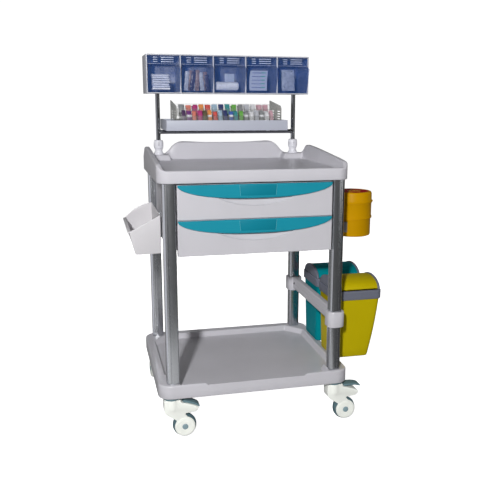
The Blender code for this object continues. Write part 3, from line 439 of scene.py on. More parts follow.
def tray_mesh(outline, bottom, hollow, hollow_top, height, floor_gap, side_top, rays=640):
    """A closed tray: hollow underneath, rounded skirt, and a top that follows height(x, y).

    outline is (half_x, half_y, radius); floor_gap(x, y) is negative on the sunk floor.
    """
    angles = [2 * math.pi * (i + 0.5) / rays for i in range(rays)]

    def ring(test, longest=0.6):
        return [reach_of(test, a, longest) for a in angles]

    def inset(depth):
        return ring(lambda x, y: slab_depth(x, y, *outline) > depth)

    def points(radii, heights):
        return [(r * math.cos(a), r * math.sin(a), z) for a, r, z in zip(angles, radii, heights)]

    under = ring(lambda x, y: hollow(x, y) < 0)
    rings = [points([r * 0.2 for r in under], [hollow_top] * rays),
             points([r - 0.006 for r in under], [hollow_top] * rays),
             points([r - 0.001 for r in under], [hollow_top - 0.005] * rays),
             points(under, [bottom + 0.001] * rays),
             points([r + 0.001 for r in under], [bottom] * rays),
             points(inset(0.003), [bottom] * rays),
             points(inset(0.0009), [bottom + 0.0009] * rays)]
    edge = inset(0.0)
    rings.append(points(edge, [bottom + 0.003] * rays))
    tops = [side_top(r * math.cos(a), r * math.sin(a)) for a, r in zip(angles, edge)]
    rings.append(points(edge, [bottom + 0.5 * (z - bottom) for z in tops]))
    rings.append(points(edge, [z - 0.0055 for z in tops]))
    previous = edge
    depths = [0.0001, 0.0005, 0.0012, 0.0024, 0.004, 0.0058] + [0.0082 + 0.0018 * i for i in range(13)]
    targets = [inset(d) for d in depths]
    for gap in (0.012, 0.010, 0.008, 0.006, 0.004, 0.002, 0.0, -0.002, -0.004, -0.006, -0.009, -0.012):
        targets.append(ring(lambda x, y, g=gap: floor_gap(x, y) < g))
    targets += [[r * share for r in targets[-1]] for share in (0.93, 0.8, 0.6, 0.35, 0.1)]
    for target in targets:
        radii = [min(r, p - 0.0001) for r, p in zip(target, previous)]
        rings.append(points(radii, [height(r * math.cos(a), r * math.sin(a))
                                    for a, r in zip(angles, radii)]))
        previous = radii
    return loft(rings)


EDGE_ROUND = 0.0058          # rounding of the trays' upper edge


def lip_profile(depth, rim, floor, thick, easing=EDGE_ROUND, foot=0.014):
    """Height inside a tray's edge: rounded outside, flat top, then a curved inner face."""
    if depth < easing:
        return rim - edge_fall(depth, easing)
    share = min(1.0, max(0.0, (depth - thick + 0.005) / foot))
    drop = smooth_step(share ** 0.75)
    return rim + (floor - rim) * drop


def worktop():
    """Moulded top: low front lip, rising side wings, concave splash and corner platforms."""
    low, high = box("worktop")
    half_x, half_y, radius = high.x, high.y, 0.040
    socket_low, _ = box("rod_socket_left")
    platform = socket_low.z - TOUCH
    floor, lip = platform - 0.020, platform - 0.0135
    platform_x, platform_y = half_x - 0.0905, half_y - 0.068
    crest, top = platform + 0.034, high.z
    wing = [(-half_y, lip), (-half_y + 0.005, lip + 0.0010), (-half_y + 0.019, lip + 0.0095),
            (-half_y + 0.040, lip + 0.0185), (-0.100, crest - 0.0175), (0.050, crest - 0.0055),
            (0.140, crest - 0.0004), (0.163, crest - 0.0003), (0.180, crest - 0.0045),
            (0.205, platform + 0.0125), (0.226, platform + 0.0015), (half_y - 0.030, platform)]
    splash = [(0, top - 0.0042), (0.080, top - 0.0034), (0.140, top - 0.0008), (0.162, top),
              (0.180, top - 0.0025), (0.200, top - 0.014), (0.222, top - 0.0375),
              (0.238, platform), (half_x, platform)]
    front_thick, side_thick, rear_thick = 0.0125, 0.020, 0.018

    def rim(x, y):
        near_x, near_y = edge_point(x, y, half_x, half_y, radius)
        if near_y > half_y - 1e-6:
            return along(splash, abs(near_x))
        if near_y < -half_y + 1e-6:
            return lip
        return along(wing, near_y)

    def thickness(x, y):
        side = smooth_step(abs(x), half_x - radius, half_x - 0.012)
        end = front_thick if y < 0 else rear_thick
        return end + (side_thick - end) * side

    def platform_gap(x, y):
        u, v = platform_x - abs(x), platform_y - y
        return math.hypot(max(u, 0), max(v, 0)) + min(max(u, v), 0)

    def height(x, y):
        level = floor + (platform - floor) * (1 - smooth_step(platform_gap(x, y), 0.0, 0.011))
        depth = slab_depth(x, y, half_x, half_y, radius)
        return lip_profile(depth, rim(x, y), level, thickness(x, y))

    def floor_gap(x, y):
        corner = (abs(x) - y - (half_x - side_thick) - (half_y - front_thick) + 0.030) / math.sqrt(2)
        return max(abs(x) - (half_x - side_thick), -y - (half_y - front_thick),
                   y - (half_y - rear_thick), corner, 0.011 - platform_gap(x, y))

    def hollow(x, y):
        return max(abs(x) - 0.2525, abs(y) - (half_y - 0.015))

    mesh = tray_mesh((half_x, half_y, radius), low.z, hollow, floor - 0.008, height, floor_gap, rim)
    piece("worktop_moulding", mesh, TOP_ABS, "cart", ["worktop"], sharp=50)


def base_tray():
    """Lower moulding: sunk shelf with a rounded rim that widens at the posts."""
    low, high = box("base_tray")
    half_x, half_y, radius = high.x, high.y, 0.045
    rim, floor = high.z, high.z - 0.019
    side, rear, front = half_x - 0.037, half_y - 0.047, half_y - 0.013
    between = box("post_front_right")[0].x - 0.010
    slant = math.atan2(0.053, 0.058)
    notch = math.atan2(0.043, 0.035)

    def floor_gap(x, y):
        wide = abs(x)
        rear_corner = (wide - side) * math.cos(slant) + (y - 0.170) * math.sin(slant)
        strip = max(wide - between, -y - front)
        beside = (wide - between) * math.cos(notch) - (y + 0.200) * math.sin(notch)
        return max(wide - side, y - rear, rear_corner, min(strip, beside))

    def height(x, y):
        depth = slab_depth(x, y, half_x, half_y, radius)
        crest = rim - edge_fall(depth, EDGE_ROUND)
        bead = 0.0012 * math.exp(-((floor_gap(x, y) - 0.011) / 0.004) ** 2)
        fall = smooth_step(-floor_gap(x, y), -0.009, 0.001)
        return crest + bead * (1 - fall) + (floor - crest) * fall

    def hollow(x, y):
        return min(max(abs(x) - (half_x - 0.084), abs(y) - (half_y - 0.020)),
                   max(abs(x) - (half_x - 0.020), abs(y) - (half_y - 0.075)))

    mesh = tray_mesh((half_x, half_y, radius), low.z, hollow, floor - 0.006, height, floor_gap,
                     lambda x, y: rim)
    piece("base_moulding", mesh, ABS, "cart", ["base_tray"], sharp=50)


# ---------------------------------------------------------------- posts and cabinet
CORNERS = {"front_left": (-1, -1), "front_right": (1, -1), "rear_left": (-1, 1), "rear_right": (1, 1)}


def post_outline(half_x, half_y, outward):
    """Extrusion section: gently bowed faces, a bead groove, a full outer corner, side slots."""
    bow, groove_x, groove, slot, deep = 0.0028, half_x - 0.0150, 0.0010, 0.0025, 0.0026
    inner_corner, outer_x, outer_y = 0.0035, 0.0135, 0.0150
    quarter = []
    for k in range(13):
        u = -half_x + inner_corner + (groove_x - 0.0010 + half_x - inner_corner) * k / 12
        quarter.append((u, half_y - bow * ((u + 0.006) / 0.020) ** 2))
    edge_v = quarter[-1][1]
    quarter += [(groove_x - 0.0004, edge_v - groove), (groove_x + 0.0006, edge_v - groove),
                (groove_x + 0.0010, edge_v - 0.0002)]
    start = half_x - outer_x
    for k in range(1, 11):
        angle = math.pi / 2 * k / 10
        quarter.append((start + outer_x * math.sin(angle),
                        edge_v - 0.0002 - outer_y * (1 - math.cos(angle))))
    quarter += [(half_x, slot), (half_x - deep, slot)]
    inner = [(-half_x + deep, slot), (-half_x, slot), (-half_x, half_y - inner_corner - bow)]
    for k in range(1, 5):
        angle = math.pi / 2 * k / 5
        inner.append((-half_x + inner_corner * (1 - math.cos(angle)),
                      half_y - inner_corner - bow + inner_corner * math.sin(angle)))
    upper = inner + quarter
    whole = upper + [(u, -v) for u, v in reversed(upper)]
    return [(outward * u, v) for u, v in whole]


def posts():
    """Four anodised extrusions."""
    for name, (outward, _) in CORNERS.items():
        node = "post_" + name
        low, high = box(node)
        spot = (low + high) / 2
        half_x, half_y, _ = halves(low, high)
        outline = post_outline(half_x, half_y, outward)
        body = prism(outline, low.z, high.z)
        piece("extrusion_" + name, shifted(body, (spot.x, spot.y, 0)), ALUMINIUM, "cart",
              [node], sharp=30)


def cabinet():
    """Pressed side panels with two folds each, and a ribbed back panel."""
    for side in ("left", "right"):
        node = "cabinet_side_" + side
        low, high = box(node)
        outer = high.x if side == "right" else low.x
        inward = -1 if side == "right" else 1
        sheet = eased(filled(low, high), 0.0012)
        folds = [block(*sorted((outer + inward * 0.0016, outer - inward * 0.01)), y - 0.004, y + 0.004,
                       low.z - 0.01, high.z + 0.01) for y in (low.y + 0.022, high.y - 0.022)]
        piece("cabinet_panel_" + side, cut(sheet, *folds), PANEL, "cart", [node])
    low, high = box("cabinet_back")
    back = eased(filled(low, high), 0.001)
    ribs = [block(low.x + 0.03, high.x - 0.03, high.y - 0.001, high.y + 0.01, z - 0.003, z + 0.003)
            for z in (low.z + 0.04, (low.z + high.z) / 2, high.z - 0.04)]
    piece("cabinet_back_panel", cut(back, *ribs), PANEL, "cart", ["cabinet_back"])


# ---------------------------------------------------------------- drawers
def relief_panel(xs, zs, front, back):
    """A closed upright slab whose front face lies at y = front(x, z)."""
    shape = bmesh.new()
    face = [[shape.verts.new((x, front(x, z), z)) for x in xs] for z in zs]
    rear = [[shape.verts.new((x, back, z)) for x in (xs[0], xs[-1])] for z in (zs[0], zs[-1])]
    for lower, upper in zip(face, face[1:]):
        for i in range(len(xs) - 1):
            shape.faces.new((lower[i], lower[i + 1], upper[i + 1], upper[i]))
    shape.faces.new((rear[0][0], rear[0][1], rear[1][1], rear[1][0]))
    shape.faces.new(face[0] + [rear[0][1], rear[0][0]])
    shape.faces.new(face[-1] + [rear[1][1], rear[1][0]])
    shape.faces.new([row[0] for row in face] + [rear[1][0], rear[0][0]])
    shape.faces.new([row[-1] for row in face] + [rear[1][1], rear[0][1]])
    return as_mesh(shape)


def steps_between(low, high, count, ends=()):
    """Evenly spaced values with extra ones close to both ends."""
    inner = [low + (high - low) * i / count for i in range(1, count)]
    close = [low + e for e in ends] + [high - e for e in ends]
    kept = [v for v in inner if v - low > max(ends, default=0) and high - v > max(ends, default=0)]
    return sorted({low, high, *close, *kept})


def pull_drop(x, half):
    return 0.003 + 0.043 * (1 - abs(min(1.0, abs(x) / half)) ** 2.5) ** 0.55


DRAWER_FRONT = 0.020         # thickness of the front panel
SKIRT_GAP = 0.0032           # dark gap left under the worktop's skirt


def drawer(level):
    """A drawer: its front, the open box behind it, and the pull with its label panel."""
    body, pull_node = level + "_drawer", level + "_drawer_pull"
    low, high = box(body)
    pull_low, pull_high = box(pull_node)
    if level == "upper":
        high.z -= SKIRT_GAP
        pull_high.z -= SKIRT_GAP
    drawer_front(level, low, high)
    drawer_box(level, low, high)
    pull_band(level, pull_low, pull_high)
    label_panel(level, pull_low.y, pull_high.z)


def drawer_front(level, low, high):
    """Moulded front with eased edges and a finger scoop under the pull."""
    body = level + "_drawer"
    easing = 0.0022
    scoop_x, scoop_z, scoop_deep = 0.150, 0.062, 0.0165
    scoop_top = high.z - 0.008

    def front(x, z):
        edge = min(x - low.x, high.x - x, z - low.z, high.z - z)
        out = math.hypot(x / scoop_x, (z - scoop_top) / scoop_z)
        dip = 0.0
        if z < scoop_top + 0.02 and out < 1:
            dip = scoop_deep * (1 - out) ** 0.42 * smooth_step(scoop_top + 0.006 - z, 0.0, 0.006)
        return low.y + edge_fall(edge, easing) + dip

    ends = (0.0002, 0.0006, 0.0012, easing)
    xs = steps_between(low.x, high.x, 260, ends)
    zs = steps_between(low.z, high.z, 84, ends)
    piece(level + "_drawer_front", relief_panel(xs, zs, front, low.y + DRAWER_FRONT), PANEL, body,
          [body], sharp=40)


def drawer_box(level, low, high):
    """Open box behind the front."""
    wall, reach = 0.004, high.x - 0.005
    rear_face = low.y + DRAWER_FRONT
    floor, top = low.z + 0.006, low.z + 0.086
    shell = eased(block(-reach, reach, rear_face - 0.001, high.y, floor, top), 0.0015)
    inside = block(-reach + wall, reach - wall, rear_face + 0.0005, high.y - wall, floor + wall, top + 0.02)
    piece(level + "_drawer_box", eased(cut(shell, inside), 0.0006, 2), PANEL, level + "_drawer")


def pull_band(level, low, high):
    """Teal band whose lower edge bows down, curled back at its edges."""
    half, top_z, outer, back = high.x, high.z, low.y, high.y
    count, rows = 200, 12
    shape = bmesh.new()
    grid = []
    for i in range(count + 1):
        x = -half * math.cos(math.pi * i / count)
        drop = pull_drop(x, half)
        column = []
        for j in range(rows + 1):
            share = j / rows
            down = 0.5 - 0.5 * math.cos(math.pi * share)
            edge = min(down, 1 - down) * drop
            curl = max(0.0, 1 - edge / 0.0024)
            end = max(0.0, 1 - (half - abs(x)) / 0.004)
            y = outer + (back - outer) * 0.75 * max(curl ** 2, end ** 2)
            column.append(shape.verts.new((x, y, top_z - down * drop)))
        column.append(shape.verts.new((x, back, top_z - drop)))
        column.append(shape.verts.new((x, back, top_z)))
        grid.append(column)
    size = len(grid[0])
    for here, there in zip(grid, grid[1:]):
        for j in range(size):
            k = (j + 1) % size
            shape.faces.new((here[j], here[k], there[k], there[j]))
    shape.faces.new(grid[0])
    shape.faces.new(grid[-1])
    piece(level + "_pull_band", as_mesh(shape), TEAL, level + "_drawer", [level + "_drawer_pull"],
          sharp=45)


def label_panel(level, outer, top_z):
    """Darker plate on the pull, wider at its top, with an edge strip at each end painted paler teal as a
    highlight.
    """
    body = level + "_drawer"
    plate_top, plate_low = top_z - 0.0035, top_z - 0.0365
    plate = [(-0.0535, plate_low), (0.0600, plate_low), (0.0635, plate_top), (-0.0570, plate_top)]
    label = eased(prism(plate, outer - 0.0009, outer + 0.0010, "y"), 0.0004, 2)
    piece(level + "_label_panel", label, TEAL_LABEL, body)
    edges = []
    # edge strips coloured paler than the band: painted highlights on the label holder's edges
    for low_x, high_x, side in ((-0.0535, -0.0570, -1), (0.0600, 0.0635, 1)):
        strip = [(low_x, plate_low), (low_x + side * 0.0012, plate_low),
                 (high_x + side * 0.0012, plate_top), (high_x, plate_top)]
        edges.append(eased(prism(strip, outer - 0.0012, outer + 0.0010, "y"), 0.0003, 2))
    piece(level + "_label_edges", joined(*edges), LABEL_EDGE_HIGHLIGHT, body)


# ---------------------------------------------------------------- casters
HEADINGS = {"front_left": 0.0, "front_right": 0.0, "rear_left": 95.0, "rear_right": 30.0}
TRAIL, WHEEL_R = 0.040, 0.0395
AXLE = (TRAIL, 0, WHEEL_R)
COVER_HALF = 0.0215
COLLAR_TOP = 0.1345


def casters():
    """Twin-cover casters with a grooved disc, hub caps, swivel ring and brake levers."""
    for name in CORNERS:
        stem_low, stem_high = box("caster_stem_" + name)
        spot = (stem_low + stem_high) / 2
        place = (Matrix.Translation((spot.x, spot.y, 0))
                 @ Matrix.Rotation(math.radians(HEADINGS[name]), 4, "Z"))
        caster_cover(name, place)
        caster_discs(name, place)
        axle_caps(name, place)
        caster_tyre(name, place)
        caster_ring(name, place, stem_high.z)
        if name.startswith("front"):
            brake_lever(name, place)


def caster_cover(name, place):
    """White hood: a round collar, a tail over the wheel, and a disc on each side of it."""
    slot_half, slot_r, disc_r = 0.0165, 0.0425, 0.034
    front, collar_r, collar_low = 0.0275, 0.0245, 0.0990
    disc = circle(disc_r, 40, (TRAIL, WHEEL_R), math.radians(140), math.radians(295))
    outline = [(-front, COLLAR_TOP), (-front, collar_low), (-0.0260, 0.0925), (-0.018, 0.0835)]
    outline += disc + [(TRAIL + 0.0035, 0.0800), (TRAIL + 0.0010, 0.0835), (TRAIL + 0.0045, 0.0862),
                       (0.056, 0.0872), (0.068, 0.0878), (0.0765, 0.0902), (0.0825, 0.0950),
                       (0.0855, 0.1000), (0.0850, 0.1040), (0.0780, 0.1085), (0.0660, 0.1135),
                       (0.0500, 0.1190), (0.0360, 0.1225),
                       (0.0300, 0.1240), (0.0275, 0.1300), (0.0270, COLLAR_TOP)]
    cover = eased(prism(outline, -COVER_HALF, COVER_HALF, "y"), 0.0024, 3, 40)
    collar = turned(softened([(0, collar_low - 0.0115), (COVER_HALF - 0.001, collar_low - 0.0115),
                              (collar_r, collar_low + 0.0030), (collar_r, COLLAR_TOP),
                              (0, COLLAR_TOP)], 0.003), 64)
    well = rod(slot_r, -slot_half, slot_half, 0, 64, "y", AXLE)
    below = block(TRAIL - slot_r, TRAIL + slot_r, -slot_half, slot_half, -0.02, WHEEL_R)
    piece("caster_cover_" + name, cut(union(cover, collar), well, below), CASTER_WHITE, "swivel_" + name,
          ["caster_fork_" + name], place, sharp=35)


def caster_discs(name, place):
    """Raised discs with two grooves each, and a moulding dot on the tail."""
    edge, grooved, inner = 0.6, 0.55, 0.6
    ridges = [(0.0315, 0), (0.0315, edge), (0.0305, 1), (0.0262, 1), (0.0257, grooved), (0.0249, grooved),
              (0.0244, 1), (0.0196, 1), (0.0191, grooved), (0.0184, grooved), (0.0179, 1), (0.0125, 1),
              (0.0118, inner), (0.0, inner)]
    plates = []
    for side in (-1, 1):
        face, rise = side * (COVER_HALF - 0.0008), side * 0.0016
        plates.append(turned([(0, face)] + [(r, face + rise * share) for r, share in ridges], 72, "y", AXLE))
        dot = [(0, -0.001), (0.0019, -0.001), (0.0019, 0.0004), (0.0012, 0.0008), (0, 0.0008)]
        dot = [(r, side * (COVER_HALF + out)) for r, out in dot]
        plates.append(turned(dot, 24, "y", (0.0765, 0, 0.1045)))
    piece("caster_discs_" + name, joined(*plates), CASTER_WHITE, "swivel_" + name,
          place=place, sharp=35)


def axle_caps(name, place):
    """Grey caps on both ends of the axle, in one turned body."""
    out, seat = COVER_HALF + 0.0018, COVER_HALF - 0.0002
    upper = [(0.0050, seat), (0.0100, seat), (0.0098, out - 0.0012), (0.0088, out - 0.0005),
             (0.0062, out), (0, out)]
    cap = [(r, -h) for r, h in reversed(upper)] + upper
    piece("caster_axle_caps_" + name, turned(cap, 48, "y", AXLE), CAP_GREY, "swivel_" + name,
          ["caster_axle_" + name], place, sharp=40)


def caster_tyre(name, place):
    """Wheel with a crowned tread and a stepped hub."""
    wide, crown = 0.0155, 0.0075
    tread = [(WHEEL_R - crown + crown * math.cos(a), wide * math.sin(a))
             for a in (math.radians(d) for d in range(-70, 71, 10))]
    hub = [(0.0054, -0.013), (0.012, -0.013), (0.014, -0.0115), (0.026, -0.0115), (0.028, -0.0145)]
    profile = hub + tread + [(r, -h) for r, h in reversed(hub)]
    piece("caster_tyre_" + name, turned(profile, 96, "y", AXLE), TYRE, "wheel_" + name,
          ["caster_wheel_" + name], place, sharp=35)


def caster_ring(name, place, ring_top):
    """Grey swivel ring on the stem, over the collar."""
    low = COLLAR_TOP + 0.0004
    ring = [(0, 0.1095), (0.006, 0.1095), (0.006, low), (0.0245, low), (0.0262, low + 0.0006),
            (0.0280, low + 0.0024), (0.0280, ring_top - 0.0018), (0.0270, ring_top), (0, ring_top)]
    piece("caster_ring_" + name, turned(ring, 72), CASTER_GREY, "cart",
          ["caster_stem_" + name], place, sharp=40)


def brake_lever(name, place):
    """Curved pedal over the tail, with three ridges to step on; the front right one is lifted."""
    lever = soft_outline([(0.0335, 0.1252), (0.0480, 0.1212), (0.0600, 0.1176), (0.0725, 0.1134),
                          (0.0840, 0.1062), (0.0890, 0.1040), (0.0896, 0.1075), (0.0845, 0.1130),
                          (0.0760, 0.1180), (0.0640, 0.1236), (0.0500, 0.1280), (0.0370, 0.1305)], 4)
    pedal = eased(prism(lever, -0.0178, 0.0178, "y"), 0.0020, 3, 50)
    ridges = [shifted(block(-0.0007, 0.0007, -0.012, 0.012, -0.0010, 0.0010), (x, 0, z))
              for x, z in ((0.066, 0.1227), (0.070, 0.1209), (0.074, 0.1190))]
    pivot = Vector((0.036, 0, 0.1265))
    lift = -0.30 if name == "front_right" else 0.0
    tilt = (place @ Matrix.Translation(pivot) @ Matrix.Rotation(lift, 4, "Y")
            @ Matrix.Translation(-pivot))
    piece("brake_lever_" + name, joined(pedal, *[eased(r, 0.0005, 2) for r in ridges]), CASTER_GREY,
          "pedal_" + name, ["brake_pedal_" + name], tilt, sharp=40)


# ---------------------------------------------------------------- rear rack
def rack_frame():
    """Two chromed rods joined by a crossbar, with collars at the joints."""
    low, high = box("rack_frame")
    radius = (high.y - low.y) / 2
    y = (low.y + high.y) / 2
    reach = high.x - radius
    bar_z = box("rack_tray")[0].z - TOUCH - radius
    rods = []
    for x in (-reach, reach):
        profile = [(0, low.z), (radius - 0.0006, low.z), (radius, low.z + 0.0006),
                   (radius, high.z - 0.0006), (radius - 0.0006, high.z), (0, high.z)]
        rods.append(turned(profile, 48, "z", (x, y, 0)))
    bar = rod(radius - 0.0004, -reach, reach, 0, 48, "x", (0, y, bar_z))
    welds = [rod(radius + 0.0006, side * (reach - radius - 0.0022), side * (reach - 0.001), 0.0008, 48, "x",
                 (0, y, bar_z)) for side in (-1, 1)]
    piece("chrome_frame", union(rods[0], rods[1], bar, *welds), CHROME, "cart", ["rack_frame"])

    for side in ("left", "right"):
        node = "rod_socket_" + side
        low, high = box(node)
        spot = (low + high) / 2
        wide, bore = (high.x - low.x) / 2, radius + TOUCH
        z = low.z
        profile = [(bore, z), (wide, z), (wide, z + 0.0060), (wide - 0.0030, z + 0.0095),
                   (wide - 0.0038, z + 0.0150), (wide - 0.0032, z + 0.0215), (wide - 0.0004, z + 0.0260),
                   (wide, z + 0.0285), (wide - 0.0008, z + 0.0300), (wide, z + 0.0315),
                   (wide, z + 0.0440), (wide - 0.0012, z + 0.0490), (wide - 0.0034, high.z), (bore, high.z)]
        nut = turned(softened(profile, 0.0008), 64, "z", (spot.x, spot.y, 0))
        slits = [block(spot.x - 0.0008, spot.x + 0.0008, spot.y - 0.03, spot.y, z + 0.0330, z + 0.0470)]
        piece("rod_nut_" + side, cut(nut, *slits), SOCKET_WHITE, "cart", [node], sharp=38)


def rack_tray():
    """Painted sheet tray with turned-in edges, and the clips that hold it to the crossbar."""
    low, high = box("rack_tray")
    wall = 0.0016
    body = eased(filled(low, high), 0.0012, 3)
    hem = 0.0026
    mouth = block(low.x + hem, high.x - hem, low.y + hem, high.y - hem, high.z - 0.004, high.z + 0.01)
    inside_low = block(low.x + wall, high.x - wall, low.y + wall, high.y - wall, low.z + wall,
                       high.z - wall)
    tray = cut(body, inside_low, mouth)
    piece("sheet_tray", tray, TRAY_PAINT, "cart", ["rack_tray"])
    frame_low, frame_high = box("rack_frame")
    y = (frame_low.y + frame_high.y) / 2
    radius = (frame_high.y - frame_low.y) / 2
    front = y - radius - 0.012
    clips = [eased(block(0.112, 0.176, front, front + 0.010, low.z - 0.0072, low.z - 0.0002), 0.001, 2)]
    clips += [rod(0.0032, front + 0.001, front - 0.0022, 0.0008, 24, "y", (x, 0, low.z - 0.0038))
              for x in (0.124, 0.166)]
    piece("tray_clip", joined(*clips), DARK, "cart")
    pads = [shifted(rod(0.0030, 0, 0.0034, 0.0008, 24, "y"), (x, front - 0.0030, low.z - 0.0032))
            for x in (0.150, 0.157)]
    piece("tray_clip_nuts", joined(*pads), SOCKET_WHITE, "cart")


STRIP_COLOURS = {
    "aubergine": (0.060, 0.020, 0.085), "purple": (0.170, 0.035, 0.200), "salmon": (0.700, 0.200, 0.150),
    "magenta": (0.420, 0.025, 0.170), "olive": (0.110, 0.085, 0.040), "orange": (0.740, 0.260, 0.060),
    "coral": (0.640, 0.085, 0.070), "sky": (0.340, 0.480, 0.600), "navy": (0.022, 0.035, 0.150),
    "blue": (0.040, 0.110, 0.400), "sea": (0.035, 0.270, 0.280), "green": (0.130, 0.400, 0.060),
    "grey": (0.250, 0.260, 0.270), "white": (0.680, 0.680, 0.710), "silver": (0.480, 0.490, 0.540),
    "rose": (0.600, 0.360, 0.420)}
FRONT_STRIPS = ["aubergine", "purple", "salmon", "magenta", "olive", "orange", "coral", "sky", "navy",
                "blue", "sea", "green", "grey", "white", "silver", "grey", "white", "rose"]
BACK_STRIPS = ["grey", "salmon", "magenta", "orange", "coral", "sky", "navy", "sea", "green", "grey",
               "silver", "white", "rose", "rose"]
BANDED = {"purple", "orange", "blue", "grey", "white"}
SACHETS_A_SLOT = 3


def strip_finish(name, colour, banded):
    """Printed foil: a tint with fine cross bands, and a pale band near the top on some."""
    made, tree, shader = blank(name)
    place = tree.nodes.new("ShaderNodeTexCoord")
    parts = tree.nodes.new("ShaderNodeSeparateXYZ")
    tree.links.new(place.outputs["Object"], parts.inputs["Vector"])
    wave = tree.nodes.new("ShaderNodeMath")
    wave.operation = "SINE"
    scaled = tree.nodes.new("ShaderNodeMath")
    scaled.operation = "MULTIPLY"
    scaled.inputs[1].default_value = 1400
    tree.links.new(parts.outputs["Z"], scaled.inputs[0])
    tree.links.new(scaled.outputs[0], wave.inputs[0])
    deep = tuple(c * 0.75 for c in colour)
    pale = tuple(min(1, c * 1.15 + 0.03) for c in colour)
    tint = blend_colours(tree, span(tree, wave.outputs[0], 0, 1, -0.4, 0.9), deep, pale)
    if banded:
        near = tree.nodes.new("ShaderNodeMath")
        near.operation = "COMPARE"
        near.inputs[1].default_value = 0.046
        near.inputs[2].default_value = 0.004
        tree.links.new(parts.outputs["Z"], near.inputs[0])
        tint = blend_colours(tree, near.outputs[0], tint, (0.72, 0.72, 0.76))
    tree.links.new(tint, shader.inputs["Base Color"])
    tree.links.new(span(tree, clouds(tree, 90, 3), 0.25, 0.5), shader.inputs["Roughness"])
    relief = tree.nodes.new("ShaderNodeBump")
    relief.inputs["Distance"].default_value = 0.0003
    tree.links.new(clouds(tree, 260, 2), relief.inputs["Height"])
    tree.links.new(relief.outputs["Normal"], shader.inputs["Normal"])
    return made


def strip_mesh(wide, tall, thick, lean, curl, bow):
    """A sachet standing on its end: bowed upwards, curling back at the top."""
    rows = []
    steps = 14
    for i in range(steps + 1):
        t = i / steps
        back = curl * t ** 2.2
        z = tall * t - 0.25 * curl * t ** 3
        side = lean * t + bow * math.sin(math.pi * t)
        pinch = 1 - 0.35 * max(0.0, (t - 0.9) / 0.1) ** 2 - 0.25 * max(0.0, (0.06 - t) / 0.06) ** 2
        half = wide / 2 * (1 - 0.06 * math.sin(math.pi * 3 * t) ** 2)
        depth = thick / 2 * pinch
        ring = rounded(half, depth, min(half, depth) * 0.8, 3)
        rows.append([(side + u, back + v, z) for u, v in ring])
    return loft(rows)


RACK_WALL = 0.0022
MIDDLE_WALL = 0.077          # from the rack's front to the wall between its two rows


def rack_body():
    """Clear stepped rack: slotted ends, three walls and a floor."""
    low, high = box("dispenser_rack")
    wall, floor = RACK_WALL, low.z
    mid = low.y + MIDDLE_WALL
    front_top, mid_top, back_top = floor + 0.050, floor + 0.074, floor + 0.092
    end_front = floor + 0.084
    side = [(low.y, floor), (high.y, floor), (high.y, high.z), (high.y - 0.012, high.z),
            (low.y + 0.010, end_front + 0.001), (low.y, end_front - 0.009)]
    ends = []
    for x in (low.x, high.x - wall):
        panel = eased(prism(side, x, x + wall, "x"), 0.0006, 2)
        slots = [block(x - 0.01, x + 0.01, y0, y0 + 0.040, floor + 0.036 + 0.009 * k,
                       floor + 0.0395 + 0.009 * k)
                 for k in range(4) for y0 in (low.y + 0.014, low.y + 0.100)]
        ends.append(cut(panel, *slots))
    walls = []
    inner = (low.x + wall - 0.0002, high.x - wall + 0.0002)
    for y, top in ((low.y, front_top), (mid, mid_top), (high.y - wall, back_top)):
        walls.append(eased(block(*inner, y, y + wall, floor, top), 0.0005, 2))
    walls.append(block(*inner, low.y + 0.001, high.y - 0.001, floor, floor + wall))
    piece("rack_ends", joined(*ends), RACK_END, "cart", sharp=40)
    piece("rack_shell", joined(*walls), RACK_CLEAR, "cart", ["dispenser_rack"], sharp=40)


def rack_strips():
    """Dividers across the rack's two rows, and foil strips standing between them."""
    low, high = box("dispenser_rack")
    wall, floor = RACK_WALL, low.z
    mid = low.y + MIDDLE_WALL
    start, end = low.x + 0.021, high.x - 0.023
    chooser = random.Random(11)
    dividers = []
    finishes = {}
    for row, names, y0, y1, level in (("front", FRONT_STRIPS, low.y + wall, mid, 0.0),
                                      ("back", BACK_STRIPS, mid + wall, high.y - wall, 0.021)):
        step = (end - start) / len(names)
        for i, colour in enumerate(names):
            x = start + step * (i + 0.5)
            dividers.append(eased(block(x - step / 2 - 0.0005, x - step / 2 + 0.0005, y0 + 0.0005,
                                        y1 - 0.0005, floor + wall, floor + 0.062 + level), 0.0003, 1))
            if colour not in finishes:
                finishes[colour] = strip_finish("foil_" + colour, STRIP_COLOURS[colour], colour in BANDED)
            stack = []
            for k in range(SACHETS_A_SLOT):
                lean = chooser.uniform(-0.0035, 0.0015)
                mesh = strip_mesh(step * chooser.uniform(0.66, 0.80), chooser.uniform(0.064, 0.070) + level,
                                  0.0030, lean, 0.014 + 0.002 * k, chooser.uniform(-0.0012, 0.0012))
                stack.append(shifted(mesh, (0, 0.0045 * k, 0)))
            place = Matrix.Translation((x, y0 + 0.006, floor + wall + 0.0004))
            piece(f"foil_{row}_{i + 1}", joined(*stack), finishes[colour], "cart",
                  place=place, sharp=60)
    piece("rack_dividers", joined(*dividers), RACK_CLEAR, "cart")


# ---------------------------------------------------------------- tilt bins
def bin_frame():
    """White housing with thin partitions and a stepped back."""
    low, high = box("bin_frame")
    wall = 0.004
    body = eased(filled(low, high), 0.0014, 3)
    holes = []
    for i in range(5):
        bin_low, bin_high = box(f"tilt_bin_{i + 1}")
        holes.append(block(bin_low.x - 0.0006, bin_high.x + 0.0006, low.y - 0.01, high.y - wall,
                           low.z + wall, high.z - wall))
    piece("bin_housing", eased(cut(body, *holes), 0.0005, 2, 60), FRAME_WHITE, "cart",
          ["bin_frame"])


